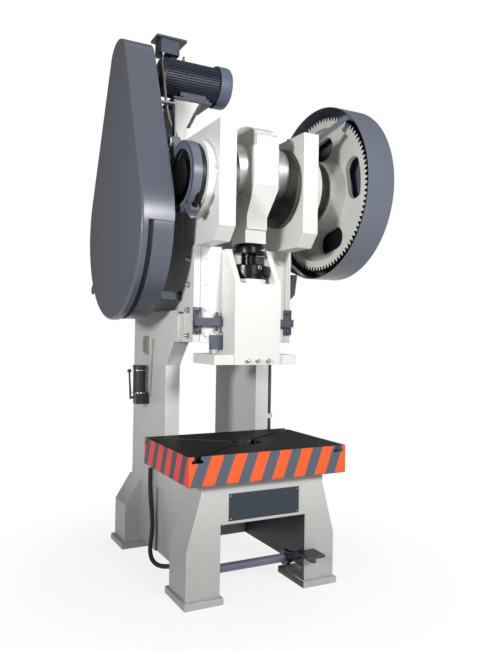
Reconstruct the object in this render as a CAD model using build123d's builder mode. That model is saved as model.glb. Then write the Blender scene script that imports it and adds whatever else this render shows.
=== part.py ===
from build123d import *

import os
from math import acos, asin, atan2, cos, degrees, hypot, pi, radians, sin, sqrt, tan

# Mechanical stamping press: an open-front geared press with a table between two side frames, a guided
# ram, a one-throw crankshaft, a band brake, a spur gear, a belt-driven flywheel and a foot pedal.
# Origin: on the floor, in the middle of the four foundation bolts.
# X runs to the right seen from the front, Y to the back and Z up. Sizes are millimetres.

os.makedirs("parts", exist_ok=True)

# Foundation
bolt_inset = 64
bolt_span_y = 1067
bolt_hole_radius = 14
pad_height = 40
pad_edge = 9

# Table and bed
table_width = 1000
table_depth = 700
table_thickness = 160
table_top = 825
table_hole_radius = 90
slot_width = 22
slot_head_width = 38
slot_neck_depth = 20
slot_head_depth = 16
slot_angle = 35
slot_reach = 480
bed_thickness = 65
bed_hole_margin = 10

# Side frames
column_front = -35
column_depth = 630
column_inner = 275
column_outer = 370
lower_wall = 32
throat_depth = 385
throat_height = 440
throat_chamfer = 139
daylight = 591
shoulder_front = -225
shoulder_height = 190
shoulder_round = 30
head_outer = 331
housing_reach = 55
housing_height = 570
cheek_inner = 219
cheek_outer = 321
cheek_half_depth = 254
cheek_rise = 291
cheek_drop = 374
cheek_chamfer = 68
cheek_chamfer_rise = 77
frame_slope_start = 250
frame_slope_drop = 350
panel_recess = 12
panel_top = 478
panel_back = 97
wall_bottom = 68

# Legs
leg_front = -660
leg_plate = 25
leg_side_plate = 22
leg_shoulder_z = 600
leg_knee_z = 300
arch_half_width = 272
arch_top = 425
leg_side_depth = 216
leg_side_rise = 477
leg_side_lean = 53
front_pad_inner_margin = 15
front_pad_outer_margin = 12
front_pad_margin = 20
rear_leg_front = 410
rear_pad_margin = 10
rear_leg_back = 640
rear_leg_knee_z = 293
rear_leg_top_z = 464
rear_leg_inner = 329
rear_pad_inner = 252
rear_pad_outer_margin = 20

# Cross plates
cross_wall_y = 205
cross_wall_thickness = 25
head_plate_y = -150
head_plate_thickness = 40
head_plate_top = 2300
rear_plate_bottom = 1700
rear_plate_top = 2250
rear_plate_thickness = 35
sign_half_width = 226
sign_bottom = 443
sign_top = 593
sign_thickness = 4

# Crank drive
crank_height = 1535
crank_throw = 85
journal_radius = 105
bush_wall = 15
bush_flange = 13
bush_flange_thickness = 6
web_radius = 238
web_inner = 188
web_outer = 211
crank_pin_radius = 150
rod_bush_wall = 12
boss_radius = 225
shaft_end_radius = 95
running_fit = 0.08
side_gap = 0.4

# Rod and ram
rod_half_width = 83.4
rod_half_depth = 217
rod_flat_bottom = 2327
rod_flat_top = 2600
rod_crown = 2697
rod_parting = 2545
rod_cap_step = 12
rod_edge = 14
shank_half_width = 68
shank_half_depth = 98
shank_shoulder = 2160
shank_bottom = 2084
collar_bottom = 2005
collar_half_width = 69.5
collar_half_depth = 85
screw_radius = 46
ball_radius = 80
ball_z = 1815
lock_nut_radius = 92
lock_nut_bottom = 1949
cup_cap_radius = 111.5
cup_cap_lower_radius = 97
cup_cap_bottom = 1793
cup_cap_waist = 1820
cup_cap_top = 1880
cup_collar_radius = 104
ram_half_width = 151
ram_front = -552
ram_back = -233
ram_bottom = 1292
ram_top = 1765
ram_flange_half_width = 271
ram_flange_thickness = 58
ram_flange_front = -538
wing_thickness = 36
wing_top = 1970
wing_front = -425
shank_bore_radius = 30
shank_bore_depth = 75
guide_root = 80
guide_tip = 40
guide_height = 35
guide_gap = 0.1

# Brake and clutch
brake_inner_face = 400
brake_outer_face = 450
band_outer_radius = 204
band_inner_radius = 190
lining_gap = 0.3
drum_rim = 16
drum_recess = 30
clutch_radius = 185
clutch_outer_face = 450

# Gearing
gear_module = 10
gear_teeth = 94
pinion_teeth = 21
pressure_angle = 20
tooth_backlash = 1.2
gear_face = 505
gear_width = 120
gear_rim = 38
gear_web_face = 550
gear_web_thickness = 30
gear_hub_face = 452
gear_hub_back = 640
gear_boss_radius = 222
gear_boss_tip_radius = 195
gear_hole_circle_radius = 300
gear_hole_length = 260
gear_hole_width = 140
gear_hole_start = 11.5
shaft_drop = 252
back_shaft_radius = 55
back_bush_wall = 12
bearing_boss_radius = 112
bearing_boss_face = 402

# Flywheel, belts and motor
flywheel_radius = 556
flywheel_rim_inner = 495
flywheel_rim_outer = 615
flywheel_rim_depth = 56
flywheel_web_thickness = 36
flywheel_hub_radius = 105
belt_count = 4
belt_spacing = 15.5
belt_width = 9
belt_depth = 8
groove_gap = 0.4
pulley_radius = 86
sheave_margin = 2.5
motor_y = 65
motor_z = 3110
motor_shaft_radius = 24
motor_core_radius = 108
motor_fin_radius = 121
motor_fin_count = 28
motor_fin_thickness = 4
motor_body_left = -300
motor_body_right = -20
motor_bell_left = -420
motor_bell_radius = 118
motor_nose_radius = 72
cowl_radius = 135
cowl_right = 60
cowl_wall = 2
foot_plate_bottom = 2945
foot_plate_thickness = 16
foot_half_spread = 95

# Covers
guard_outer_face = 690
guard_back_edge = 495
guard_lower_edge = 649
guard_lower_radius = 564
guard_upper_radius = 157
guard_upper_y = 64
guard_upper_z = 3124
guard_wall = 4
guard_round = 14
guard_split_z = 2095
gear_guard_inner = 470
gear_guard_end_gap = 11
gear_guard_room = 51
gear_guard_tail_room = 16
gear_guard_wall = 4

# Guides, stops and small fixings
near = 0.5
bolt_clearance = 0.5
pin_clearance = 0.3
seat_gap = 0.3
guide_y = -295
gib_bolt_radius = 10
gib_bolt_head = 18
gib_bolt_head_height = 12
gib_bolt_length = 150
gib_bolt_x = 248
gib_seat_inner = 205
gib_seat_depth = 40
side_screw_radius = 9
side_screw_reach = 28
side_nut_radius = 17
side_nut_height = 12
row_count = 4
row_spacing = 151
row_start = 50
side_screw_drop = 12
clamp_spacing = 68
clamp_height = 23
clamp_head = 13
clamp_reach = 22
cup_cap_bevel = 8
cap_opening = 2
lock_nut_skirt = 34
lock_nut_neck = 78
nut_lever_radius = 7
nut_lever_reach = 26
nut_lever_angle = 27
screw_top = 2200
screw_room = 50
cap_screw_x = 45
cap_screw_y = 188
cap_screw_radius = 9
cap_screw_head = 16
cap_screw_head_height = 12
cap_screw_seat = 19
cap_screw_grip = 60
rod_bush_reach = 5
bar_y = -382
bar_thickness = 28
bar_half_length = 225
bar_bottom = 1375
bar_top = 1461
bar_travel = 18
bar_gap = 0.5
stop_plate_inner = 282
stop_plate_outer = 334
stop_plate_bottom = 1466
stop_plate_top = 1622
stop_plate_thickness = 14
stop_arm_inner = 164
stop_arm_bottom = 1515
stop_arm_top = 1562
stop_arm_depth = 26
stop_screw_x = 190
stop_screw_y = -392
stop_screw_radius = 9
stop_screw_length = 110
stop_room = 24
stop_nut_radius = 15
stop_nut_height = 12

# Brake, clutch and gear details
drum_inner = 374
drum_outer = 452
drum_flange_outer = 396
drum_flange_radius = 198
band_split_angle = 236
band_split_gap = 14
band_lug_thickness = 20
band_lug_length = 84
band_lug_reach = 274
band_ear_angle = 56
band_ear_reach = 286
band_ear_radius = 38
anchor_pin_radius = 28
anchor_pin_reach = 12
spring_bolt_distance = 242
spring_bolt_radius = 8
spring_bolt_tail = 52
spring_bolt_tip = 136
spring_nut_radius = 16
spring_nut_height = 14
spring_radius = 15
spring_length = 62
journal_end = 372
clutch_bevel = 6
root_depth = 1.25
gear_hole_count = 4
gear_back_boss_radius = 170

# Belt drive and motor details
belt_rim_radius = 545
belt_proud = 1
groove_depth = 9
groove_half_angle = 14
flywheel_outer_face = 682
flywheel_web_x = 555
pulley_hub_radius = 52
pulley_hub_right = 560
fan_left = 12
fan_right = 40
fan_hub_radius = 34
fan_radius = 108
fan_blades = 8
fan_blade_thickness = 4
motor_nose_length = 26
motor_nose_flare = 10
motor_bell_length = 50
motor_bell_bevel = 12
motor_fin_root = 4
cowl_left = -30
cowl_lap = 24
cowl_round = 24
cowl_fit = 0.3
foot_rise = 45
foot_width = 30
motor_foot_left = -290
motor_foot_right = -110
box_left = -430
box_right = -300
box_front = -5
box_back = 105
box_bottom = 3238
box_top = 3330
box_round = 8
box_neck_left = -345
box_neck_right = -306
box_neck_width = 60
lid_left = -457
lid_right = -254
lid_lap = 10
lid_thickness = 14
eye_x = -246
eye_boss_radius = 12
eye_seat = 3234
eye_shank_radius = 6
eye_rise = 6
eye_ring_radius = 13
eye_ring_wire = 4.5
pedestal_left = -351
pedestal_right = -90
pedestal_half_depth = 112
gusset_face = -35
gusset_thickness = 12
gusset_left = -346
gusset_right = -168
gusset_waist = -248
gusset_waist_z = 2776
strut_radius = 9

# Guard details
rear_stay_y = 560
rear_stay_z = 1750
rear_stay_radius = 12
guard_ear_radius = 26
guard_ear_thickness = 10
strap_x = 487
strap_thickness = 8
strap_width = 45
front_stay_y = -240
front_stay_z = 1693
front_stay_root_y = -166
stay_foot_radius = 32
bracket_x = 400
bracket_bottom = 2620
bracket_top = 2860
bracket_thickness = 10
bracket_back = -165
bracket_foot_back = -110
bracket_lap = 30
stay_thickness = 8
stay_width = 40
stay_overhang = 16
stay_lap = 34
stay_foot_length = 60
front_stay_angle = 131
front_foot_distance = 350
top_stay_angle = 45
top_foot_distance = 370
low_stay_angle = -80
low_foot_distance = 450

# Foot control
pedal_shaft_y = -485
pedal_shaft_z = 122
pedal_shaft_radius = 25
pedal_collar_radius = 36
collar_x = 285
collar_width = 16
lever_thickness = 18
lever_gap = 10
lever_room = 55
lever_end_radius = 16
lever_end_z = 150
pedal_arm_x = 250
pedal_arm_thickness = 26
pedal_left = 208
pedal_right = 330
pedal_front = -795
pedal_back = -668
pedal_z = 208
pedal_thickness = 12
pedal_rib = 22
pedal_round = 10
push_rod_x = 388.5
push_rod_y = -22
push_rod_radius = 11
push_rod_top = 1700
rod_eye_low = 900
rod_eye_high = 1540
rod_eye_height = 30
rod_eye_wall = 10
latch_x = 403
latch_thickness = 38
latch_front = -300
latch_back = -205
latch_top = 1854
latch_arm_bottom = 1702
latch_arm_height = 34
latch_lean = 26
latch_pivot_y = -240
latch_pivot_z = 1785
latch_pin_radius = 12
latch_pin_head = 20
latch_pin_head_height = 10

# Lubrication
pump_x = -430
pump_y = 295
pump_radius = 42
pump_cap_radius = 46
pump_bottom = 993
pump_waist = 1066
pump_shoulder = 1235
pump_top = 1249
pump_block_width = 64
pump_lever_x = 476
pump_pivot_y = 350
pump_pivot_z = 1030
pump_pin_radius = 7
pump_ear = 12
pump_knob_y = 385
pump_knob_z = 1205
pump_lever_half_width = 6
pump_lever_thickness = 8
pump_knob_radius = 14
distributor_y = 300
distributor_bottom = 1323
distributor_top = 1446
distributor_width = 34
distributor_depth = 26
distributor_spacing = 17
distributor_outlets = 6
oil_fitting_radius = 5
oil_fitting_length = 14
oil_line_top_y = 189
oil_line_top = 1419
oil_line_x = 382
oil_line_radius = 4
oil_bend = 5

# Hose and conduit
hose_radius = 14
conduit_radius = 9
bend_share = 0.45
hose_block_half = 22
hose_block_length = 28

# Places that follow from the sizes above
lever_outer = column_outer + lever_gap + lever_thickness
leg_top_half_width = column_outer + leg_side_plate
leg_foot_half_width = lever_outer + lever_room + leg_side_plate
rear_leg_foot = leg_foot_half_width
front_pad_inner = arch_half_width - front_pad_inner_margin
front_pad_outer = leg_foot_half_width + front_pad_outer_margin
rear_pad_outer = rear_leg_foot + rear_pad_outer_margin
bolt_span_x = 2 * (leg_foot_half_width - bolt_inset)
load_y = column_front - throat_depth
column_back = column_front + column_depth
bed_top = table_top - table_thickness
bed_bottom = bed_top - bed_thickness
bed_hole_radius = table_hole_radius + bed_hole_margin
table_front = column_front - table_depth
slot_length = 2 * slot_reach
head_bottom = table_top + daylight
throat_top = table_top + throat_height
shoulder_top = head_bottom + shoulder_height
crank_z = table_top + crank_height
pin_z = crank_z + crank_throw
frame_top = crank_z + cheek_rise
housing_front = load_y + housing_reach
housing_top = head_bottom + housing_height
cheek_front = load_y - cheek_half_depth
cheek_back = load_y + cheek_half_depth
cheek_bottom = crank_z - cheek_drop
leg_side_back = leg_front + leg_plate + leg_side_depth
rear_pad_depth = bolt_span_y - 2 * (rear_leg_front - rear_pad_margin)
front_pad_depth = 2 * (front_pad_margin - leg_front - bolt_span_y / 2)
gib_edge = ram_half_width + guide_gap
row_heights = [head_bottom + row_start + row_spacing * row for row in range(row_count)]
side_screw_heights = [height - side_screw_drop for height in row_heights]
bush_radius = journal_radius + bush_wall
gear_pitch_radius = gear_module * gear_teeth / 2
gear_root_radius = gear_pitch_radius - root_depth * gear_module
pinion_pitch_radius = gear_module * pinion_teeth / 2
centre_distance = gear_pitch_radius + pinion_pitch_radius
gear_guard_outer = gear_hub_back + gear_guard_end_gap + gear_guard_wall
gear_guard_radius = gear_pitch_radius + gear_module + gear_guard_room + gear_guard_wall
gear_guard_tail = pinion_pitch_radius + gear_module + gear_guard_tail_room + gear_guard_wall
back_shaft_y = load_y + sqrt(centre_distance**2 - shaft_drop**2)
back_shaft_z = crank_z - shaft_drop
pedestal_top = foot_plate_bottom + foot_plate_thickness
rear_stay_distance = hypot(rear_stay_y - back_shaft_y, rear_stay_z - back_shaft_z)
spring_bolt_centre = (
    load_y + spring_bolt_distance * cos(radians(band_split_angle)),
    crank_z + spring_bolt_distance * sin(radians(band_split_angle)),
)
spring_bolt_plane = Plane(
    (-(brake_inner_face + brake_outer_face) / 2, *spring_bolt_centre),
    x_dir=(1, 0, 0),
    z_dir=(0, sin(radians(band_split_angle)), -cos(radians(band_split_angle))),
)


def across(x):
    """A sketch plane square to X: its own axes are Y and Z, and it extrudes to the right."""
    return Plane.YZ.offset(x)


def facing(y):
    """A sketch plane square to Y: its own axes are X and Z, and it extrudes to the front."""
    return Plane.XZ.offset(-y)


def level(z):
    """A sketch plane square to Z: its own axes are X and Y, and it extrudes upwards."""
    return Plane.XY.offset(z)


def straight_bar(start, end, width, thickness, edge_direction):
    """A flat bar from start to end, its width along edge_direction."""
    start_point = Vector(*start)
    run = Vector(*end) - start_point
    edge = Vector(*edge_direction)
    edge -= run * (edge.dot(run) / run.length**2)
    with BuildPart() as bar:
        with BuildSketch(Plane(origin=start_point, x_dir=edge, z_dir=run)):
            Rectangle(width, thickness)
        extrude(amount=run.length)
    return bar.part


# Side frames: column, throat corner, shoulder, head wall with the guide housing, bearing cheek and rear leg
with BuildPart() as side_frame:
    with BuildSketch(across(column_inner)):
        with BuildLine():
            Polyline(
                (column_front, bed_bottom),
                (column_front, throat_top),
                (column_front - throat_chamfer, head_bottom),
                (shoulder_front, head_bottom),
                (shoulder_front, shoulder_top),
                (column_back, shoulder_top),
                (column_back, bed_bottom),
                close=True,
            )
        make_face()
    extrude(amount=column_outer - column_inner)
    shoulder_corner = side_frame.edges().filter_by(Axis.X).group_by(Axis.Z)[-1].sort_by(Axis.Y)[0]
    fillet(shoulder_corner, shoulder_round)
    # Wall under the table, with a shallow panel recess outside
    with BuildSketch(across(column_outer - lower_wall)):
        with Locations(((leg_front + leg_plate + column_back) / 2, (wall_bottom + bed_top) / 2)):
            Rectangle(column_back - leg_front - leg_plate, bed_top - wall_bottom)
    extrude(amount=lower_wall)
    with BuildSketch(across(column_outer - panel_recess)):
        with Locations(((leg_front + leg_plate + panel_back) / 2, (wall_bottom + panel_top) / 2)):
            Rectangle(panel_back - leg_front - leg_plate, panel_top - wall_bottom)
    extrude(amount=panel_recess, mode=Mode.SUBTRACT)
    # Head wall and guide housing
    with BuildSketch(across(column_inner)):
        with BuildLine():
            Polyline(
                (housing_front, head_bottom),
                (housing_front, housing_top),
                (cheek_back, housing_top),
                (cheek_back, frame_top),
                (frame_slope_start, frame_top),
                (column_back, frame_top - frame_slope_drop),
                (column_back, head_bottom),
                close=True,
            )
        make_face()
    extrude(amount=head_outer - column_inner)
    # Bearing cheek, boss and bores
    with BuildSketch(across(cheek_inner)):
        with BuildLine():
            Polyline(
                (cheek_front, cheek_bottom + cheek_chamfer_rise),
                (cheek_front + cheek_chamfer, cheek_bottom),
                (cheek_back, cheek_bottom),
                (cheek_back, frame_top),
                (cheek_front, frame_top),
                close=True,
            )
        make_face()
    extrude(amount=cheek_outer - cheek_inner)
    with BuildSketch(across(cheek_outer)):
        with Locations((load_y, crank_z)):
            Circle(boss_radius)
    extrude(amount=column_outer - cheek_outer)
    with BuildSketch(across(head_outer)):
        with Locations((back_shaft_y, back_shaft_z)):
            Circle(bearing_boss_radius)
    extrude(amount=bearing_boss_face - head_outer)
    with BuildSketch(across(cheek_inner)):
        with Locations((load_y, crank_z)):
            Circle(bush_radius)
        with Locations((back_shaft_y, back_shaft_z)):
            Circle(back_shaft_radius + back_bush_wall)
    extrude(amount=bearing_boss_face - cheek_inner, mode=Mode.SUBTRACT)
    # Rear leg: front plate, slanted side plate and pad
    with BuildSketch(facing(rear_leg_front + leg_plate)):
        with BuildLine():
            Polyline(
                (rear_leg_inner, pad_height),
                (rear_leg_inner, rear_leg_top_z),
                (column_outer, rear_leg_top_z),
                (rear_leg_foot, rear_leg_knee_z),
                (rear_leg_foot, pad_height),
                close=True,
            )
        make_face()
    extrude(amount=leg_plate)
    with BuildSketch(facing(rear_leg_back)):
        with BuildLine():
            Polyline(
                (rear_leg_foot - leg_side_plate, pad_height),
                (rear_leg_foot - leg_side_plate, rear_leg_knee_z),
                (column_outer - leg_side_plate / 2, rear_leg_top_z - leg_side_plate),
                (column_outer - leg_side_plate / 2, rear_leg_top_z),
                (column_outer, rear_leg_top_z),
                (rear_leg_foot, rear_leg_knee_z),
                (rear_leg_foot, pad_height),
                close=True,
            )
        make_face()
    extrude(amount=rear_leg_back - rear_leg_front)
    with BuildSketch(level(0)):
        with Locations(((rear_pad_inner + rear_pad_outer) / 2, bolt_span_y / 2)):
            Rectangle(rear_pad_outer - rear_pad_inner, rear_pad_depth)
    extrude(amount=pad_height)
    pad_rims = side_frame.edges().filter_by_position(Axis.Z, pad_height - near, pad_height + near).filter_by(
        lambda edge: edge.length > rear_pad_outer - rear_pad_inner - near)
    fillet(pad_rims, pad_edge)
    with Locations((bolt_span_x / 2, bolt_span_y / 2, pad_height)):
        Hole(bolt_hole_radius, depth=pad_height)
    # Seats behind the gibs, bolt holes, side screw holes and the pedal shaft bearing
    with BuildSketch(level(head_bottom)):
        with Locations(((gib_seat_inner + column_inner) / 2, ram_back + gib_seat_depth / 2)):
            Rectangle(column_inner - gib_seat_inner, gib_seat_depth)
    extrude(amount=housing_height)
    with BuildSketch(facing(ram_back)):
        with Locations(*((gib_bolt_x, height) for height in row_heights)):
            Circle(gib_bolt_radius + bolt_clearance)
    extrude(amount=-gib_seat_depth, mode=Mode.SUBTRACT)
    with BuildSketch(across(column_inner)):
        with Locations(*((guide_y, height) for height in side_screw_heights)):
            Circle(side_screw_radius + bolt_clearance)
    extrude(amount=head_outer - column_inner, mode=Mode.SUBTRACT)
    with BuildSketch(across(column_outer - lower_wall)):
        with Locations((pedal_shaft_y, pedal_shaft_z)):
            Circle(pedal_shaft_radius + running_fit)
    extrude(amount=lower_wall, mode=Mode.SUBTRACT)

with BuildPart() as right_side_frame:
    add(side_frame.part)
    # Eyes that guide the push rod
    for eye_height in (rod_eye_low, rod_eye_high):
        with BuildSketch(level(eye_height)):
            with Locations(((column_outer + push_rod_x) / 2, push_rod_y)):
                Rectangle(push_rod_x - column_outer, 2 * (push_rod_radius + rod_eye_wall))
            with Locations((push_rod_x, push_rod_y)):
                Circle(push_rod_radius + rod_eye_wall)
                Circle(push_rod_radius + running_fit, mode=Mode.SUBTRACT)
        extrude(amount=rod_eye_height)
right_side_frame.part.label = "right_side_frame"
export_step(right_side_frame.part, "parts/right_side_frame.step")

with BuildPart() as left_side_frame:
    mirror(side_frame.part, about=Plane.YZ)
left_side_frame.part.label = "left_side_frame"
export_step(left_side_frame.part, "parts/left_side_frame.step")

# Front legs: one plate with the arch, two slanted side plates and two pads
with BuildPart() as front_legs:
    with BuildSketch(Plane((0, -bolt_span_y / 2, 0))):
        with Locations(((front_pad_inner + front_pad_outer) / 2, 0)):
            Rectangle(front_pad_outer - front_pad_inner, front_pad_depth)
        mirror(about=Plane.YZ)
    extrude(amount=pad_height)
    fillet(front_legs.edges().group_by(Axis.Z)[-1], pad_edge)
    with BuildSketch(facing(leg_front + leg_plate)):
        with BuildLine():
            Polyline(
                (arch_half_width, pad_height),
                (leg_foot_half_width, pad_height),
                (leg_foot_half_width, leg_knee_z),
                (leg_top_half_width, leg_shoulder_z),
                (leg_top_half_width, bed_top),
                (0, bed_top),
                (0, arch_top),
                (arch_half_width, arch_top),
                close=True,
            )
        make_face()
        mirror(about=Plane.YZ)
    extrude(amount=leg_plate)
    with BuildSketch(facing(leg_side_back)):
        with BuildLine():
            Polyline(
                (leg_foot_half_width, pad_height),
                (leg_foot_half_width, leg_knee_z),
                (leg_top_half_width, leg_shoulder_z),
                (leg_top_half_width, bed_top),
                (leg_top_half_width - leg_side_plate, bed_top),
                (leg_top_half_width - leg_side_plate, leg_shoulder_z),
                (leg_foot_half_width - leg_side_plate, leg_knee_z),
                (leg_foot_half_width - leg_side_plate, pad_height),
                close=True,
            )
        make_face()
        mirror(about=Plane.YZ)
    extrude(amount=leg_side_back - leg_front - leg_plate)
    with BuildSketch(across(0)):
        with BuildLine():
            Polyline(
                (leg_side_back, leg_knee_z),
                (leg_side_back - leg_side_lean, leg_side_rise),
                (leg_side_back, bed_top),
                close=True,
            )
        make_face()
    extrude(amount=leg_foot_half_width, both=True, mode=Mode.SUBTRACT)
    with Locations(
        (bolt_span_x / 2, -bolt_span_y / 2, pad_height), (-bolt_span_x / 2, -bolt_span_y / 2, pad_height)
    ):
        Hole(bolt_hole_radius, depth=pad_height)
front_legs.part.label = "front_legs"
export_step(front_legs.part, "parts/front_legs.step")

# Plates that tie the two side frames together
with BuildPart() as bed_plate:
    with BuildSketch(level(bed_bottom)):
        with Locations((0, (leg_front + leg_plate + column_front) / 2)):
            Rectangle(2 * (column_outer - lower_wall), column_front - leg_front - leg_plate)
        with Locations((0, load_y)):
            Circle(bed_hole_radius, mode=Mode.SUBTRACT)
    extrude(amount=bed_thickness)
bed_plate.part.label = "bed_plate"
export_step(bed_plate.part, "parts/bed_plate.step")

with BuildPart() as lower_cross_wall:
    with BuildSketch(facing(cross_wall_y + cross_wall_thickness)):
        with Locations((0, (wall_bottom + bed_bottom) / 2)):
            Rectangle(2 * (column_outer - lower_wall), bed_bottom - wall_bottom)
    extrude(amount=cross_wall_thickness)
lower_cross_wall.part.label = "lower_cross_wall"
export_step(lower_cross_wall.part, "parts/lower_cross_wall.step")

with BuildPart() as head_cross_plate:
    with BuildSketch(facing(head_plate_y + head_plate_thickness)):
        with Locations((0, (head_bottom + head_plate_top) / 2)):
            Rectangle(2 * column_inner, head_plate_top - head_bottom)
    extrude(amount=head_plate_thickness)
head_cross_plate.part.label = "head_cross_plate"
export_step(head_cross_plate.part, "parts/head_cross_plate.step")

with BuildPart() as rear_cross_plate:
    with BuildSketch(facing(column_back)):
        with Locations((0, (rear_plate_bottom + rear_plate_top) / 2)):
            Rectangle(2 * column_inner, rear_plate_top - rear_plate_bottom)
    extrude(amount=rear_plate_thickness)
rear_cross_plate.part.label = "rear_cross_plate"
export_step(rear_cross_plate.part, "parts/rear_cross_plate.step")

# Bolster table: T-slots run from the round hole towards the corners
with BuildPart() as bolster_table:
    with BuildSketch(level(bed_top)):
        with Locations((0, (table_front + column_front) / 2)):
            Rectangle(table_width, table_depth)
        with Locations((0, load_y)):
            Circle(table_hole_radius, mode=Mode.SUBTRACT)
    extrude(amount=table_thickness)
    for top_z, width, depth in (
        (table_top, slot_width, slot_neck_depth),
        (table_top - slot_neck_depth, slot_head_width, slot_head_depth),
    ):
        with BuildSketch(Plane((0, load_y, top_z))):
            for first_angle in (slot_angle, -slot_angle):
                with PolarLocations(slot_length / 2, 2, start_angle=first_angle):
                    Rectangle(slot_length, width)
        extrude(amount=-depth, mode=Mode.SUBTRACT)
bolster_table.part.label = "bolster_table"
export_step(bolster_table.part, "parts/bolster_table.step")

with BuildPart() as sign_plate:
    with BuildSketch(facing(leg_front)):
        with Locations((0, (sign_bottom + sign_top) / 2)):
            Rectangle(2 * sign_half_width, sign_top - sign_bottom)
    extrude(amount=sign_thickness)
sign_plate.part.label = "sign_plate"
export_step(sign_plate.part, "parts/sign_plate.step")

# Gibs: guide plates with a tapered groove, bolted to the seats behind them
with BuildPart() as right_gib:
    with BuildSketch(level(head_bottom)):
        with BuildLine():
            Polyline(
                (gib_edge, housing_front),
                (column_inner, housing_front),
                (column_inner, ram_back),
                (gib_edge, ram_back),
                (gib_edge, guide_y + guide_root / 2),
                (gib_edge + guide_height, guide_y + guide_tip / 2),
                (gib_edge + guide_height, guide_y - guide_tip / 2),
                (gib_edge, guide_y - guide_root / 2),
                close=True,
            )
        make_face()
    extrude(amount=housing_height)
    with Locations(facing(housing_front)):
        with Locations(*((gib_bolt_x, z) for z in row_heights)):
            Hole(gib_bolt_radius + bolt_clearance, depth=ram_back - housing_front)
right_gib.part.label = "right_gib"
export_step(right_gib.part, "parts/right_gib.step")

with BuildPart() as left_gib:
    mirror(right_gib.part, about=Plane.YZ)
left_gib.part.label = "left_gib"
export_step(left_gib.part, "parts/left_gib.step")

with BuildPart() as gib_bolts:
    with BuildSketch(facing(housing_front)):
        with Locations(*((side * gib_bolt_x, z) for side in (-1, 1) for z in row_heights)):
            RegularPolygon(gib_bolt_head, 6)
    extrude(amount=gib_bolt_head_height)
    with BuildSketch(facing(housing_front)):
        with Locations(*((side * gib_bolt_x, z) for side in (-1, 1) for z in row_heights)):
            Circle(gib_bolt_radius)
    extrude(amount=-gib_bolt_length)
gib_bolts.part.label = "gib_bolts"
export_step(gib_bolts.part, "parts/gib_bolts.step")

# Side screws press on the gibs from outside, each with its lock nut
with BuildPart() as gib_side_screws:
    with BuildSketch(across(column_inner)):
        with Locations(*((guide_y, z) for z in side_screw_heights)):
            Circle(side_screw_radius)
    extrude(amount=head_outer - column_inner + side_screw_reach)
    with BuildSketch(across(head_outer)):
        with Locations(*((guide_y, z) for z in side_screw_heights)):
            RegularPolygon(side_nut_radius, 6)
    extrude(amount=side_nut_height)
    mirror(about=Plane.YZ)
gib_side_screws.part.label = "gib_side_screws"
export_step(gib_side_screws.part, "parts/gib_side_screws.step")

# Ram: box body, flange, guide ribs, two wings beside the screw, ball seat, shank bore and knock-out slot
with BuildPart() as ram:
    with BuildSketch(level(ram_bottom)):
        with Locations((0, (ram_front + ram_back) / 2)):
            Rectangle(2 * ram_half_width, ram_back - ram_front)
    extrude(amount=ram_top - ram_bottom)
    with BuildSketch(level(ram_bottom)):
        with Locations((0, (ram_flange_front + ram_back) / 2)):
            Rectangle(2 * ram_flange_half_width, ram_back - ram_flange_front)
    extrude(amount=ram_flange_thickness)
    with BuildSketch(level(ram_bottom + ram_flange_thickness)):
        with BuildLine():
            Polyline(
                (ram_half_width, guide_y + guide_root / 2),
                (ram_half_width + guide_height, guide_y + guide_tip / 2),
                (ram_half_width + guide_height, guide_y - guide_tip / 2),
                (ram_half_width, guide_y - guide_root / 2),
                close=True,
            )
        make_face()
        mirror(about=Plane.YZ)
    extrude(amount=ram_top - ram_bottom - ram_flange_thickness)
    for wing_face in (-ram_half_width, ram_half_width - wing_thickness):
        with BuildSketch(across(wing_face)):
            with BuildLine():
                Polyline(
                    (ram_front, ram_top),
                    (wing_front, wing_top),
                    (ram_back, wing_top),
                    (ram_back, ram_top),
                    close=True,
                )
            make_face()
        extrude(amount=wing_thickness)
    with BuildSketch(Plane((0, load_y, ram_top))):
        Circle(cup_collar_radius)
    extrude(amount=cup_cap_bottom - ram_top)
    with Locations((0, load_y, ball_z)):
        Sphere(ball_radius + running_fit, mode=Mode.SUBTRACT)
    with BuildSketch(Plane((0, load_y, ram_bottom))):
        Circle(shank_bore_radius)
    extrude(amount=shank_bore_depth, mode=Mode.SUBTRACT)
    with BuildSketch(across(-ram_half_width - guide_height)):
        with Locations((bar_y, (bar_bottom + bar_top + bar_travel) / 2)):
            Rectangle(bar_thickness + 2 * bar_gap, bar_top - bar_bottom + bar_travel + 2 * bar_gap)
    extrude(amount=2 * (ram_half_width + guide_height), mode=Mode.SUBTRACT)
ram.part.label = "ram"
export_step(ram.part, "parts/ram.step")

with BuildPart() as shank_clamp_screws:
    with BuildSketch(facing(ram_front)):
        with Locations(*((place * clamp_spacing, ram_bottom + clamp_height) for place in (-1, 0, 1))):
            RegularPolygon(clamp_head, 6)
    extrude(amount=clamp_reach)
shank_clamp_screws.part.label = "shank_clamp_screws"
export_step(shank_clamp_screws.part, "parts/shank_clamp_screws.step")

with BuildPart() as ball_cap:
    with BuildSketch(Plane((0, load_y, 0), x_dir=(1, 0, 0), z_dir=(0, -1, 0))):
        with BuildLine():
            Polyline(
                (0, cup_cap_bottom),
                (cup_cap_lower_radius, cup_cap_bottom),
                (cup_cap_lower_radius, cup_cap_waist),
                (cup_cap_radius, cup_cap_waist),
                (cup_cap_radius, cup_cap_top - cup_cap_bevel),
                (cup_cap_radius - cup_cap_bevel, cup_cap_top),
                (0, cup_cap_top),
                close=True,
            )
        make_face()
    revolve(axis=Axis((0, load_y, 0), (0, 0, 1)))
    with Locations((0, load_y, ball_z)):
        Sphere(ball_radius + running_fit, mode=Mode.SUBTRACT)
    with BuildSketch(Plane((0, load_y, ball_z))):
        Circle(screw_radius + cap_opening)
    extrude(amount=cup_cap_top - ball_z, mode=Mode.SUBTRACT)
ball_cap.part.label = "ball_cap"
export_step(ball_cap.part, "parts/ball_cap.step")

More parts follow.
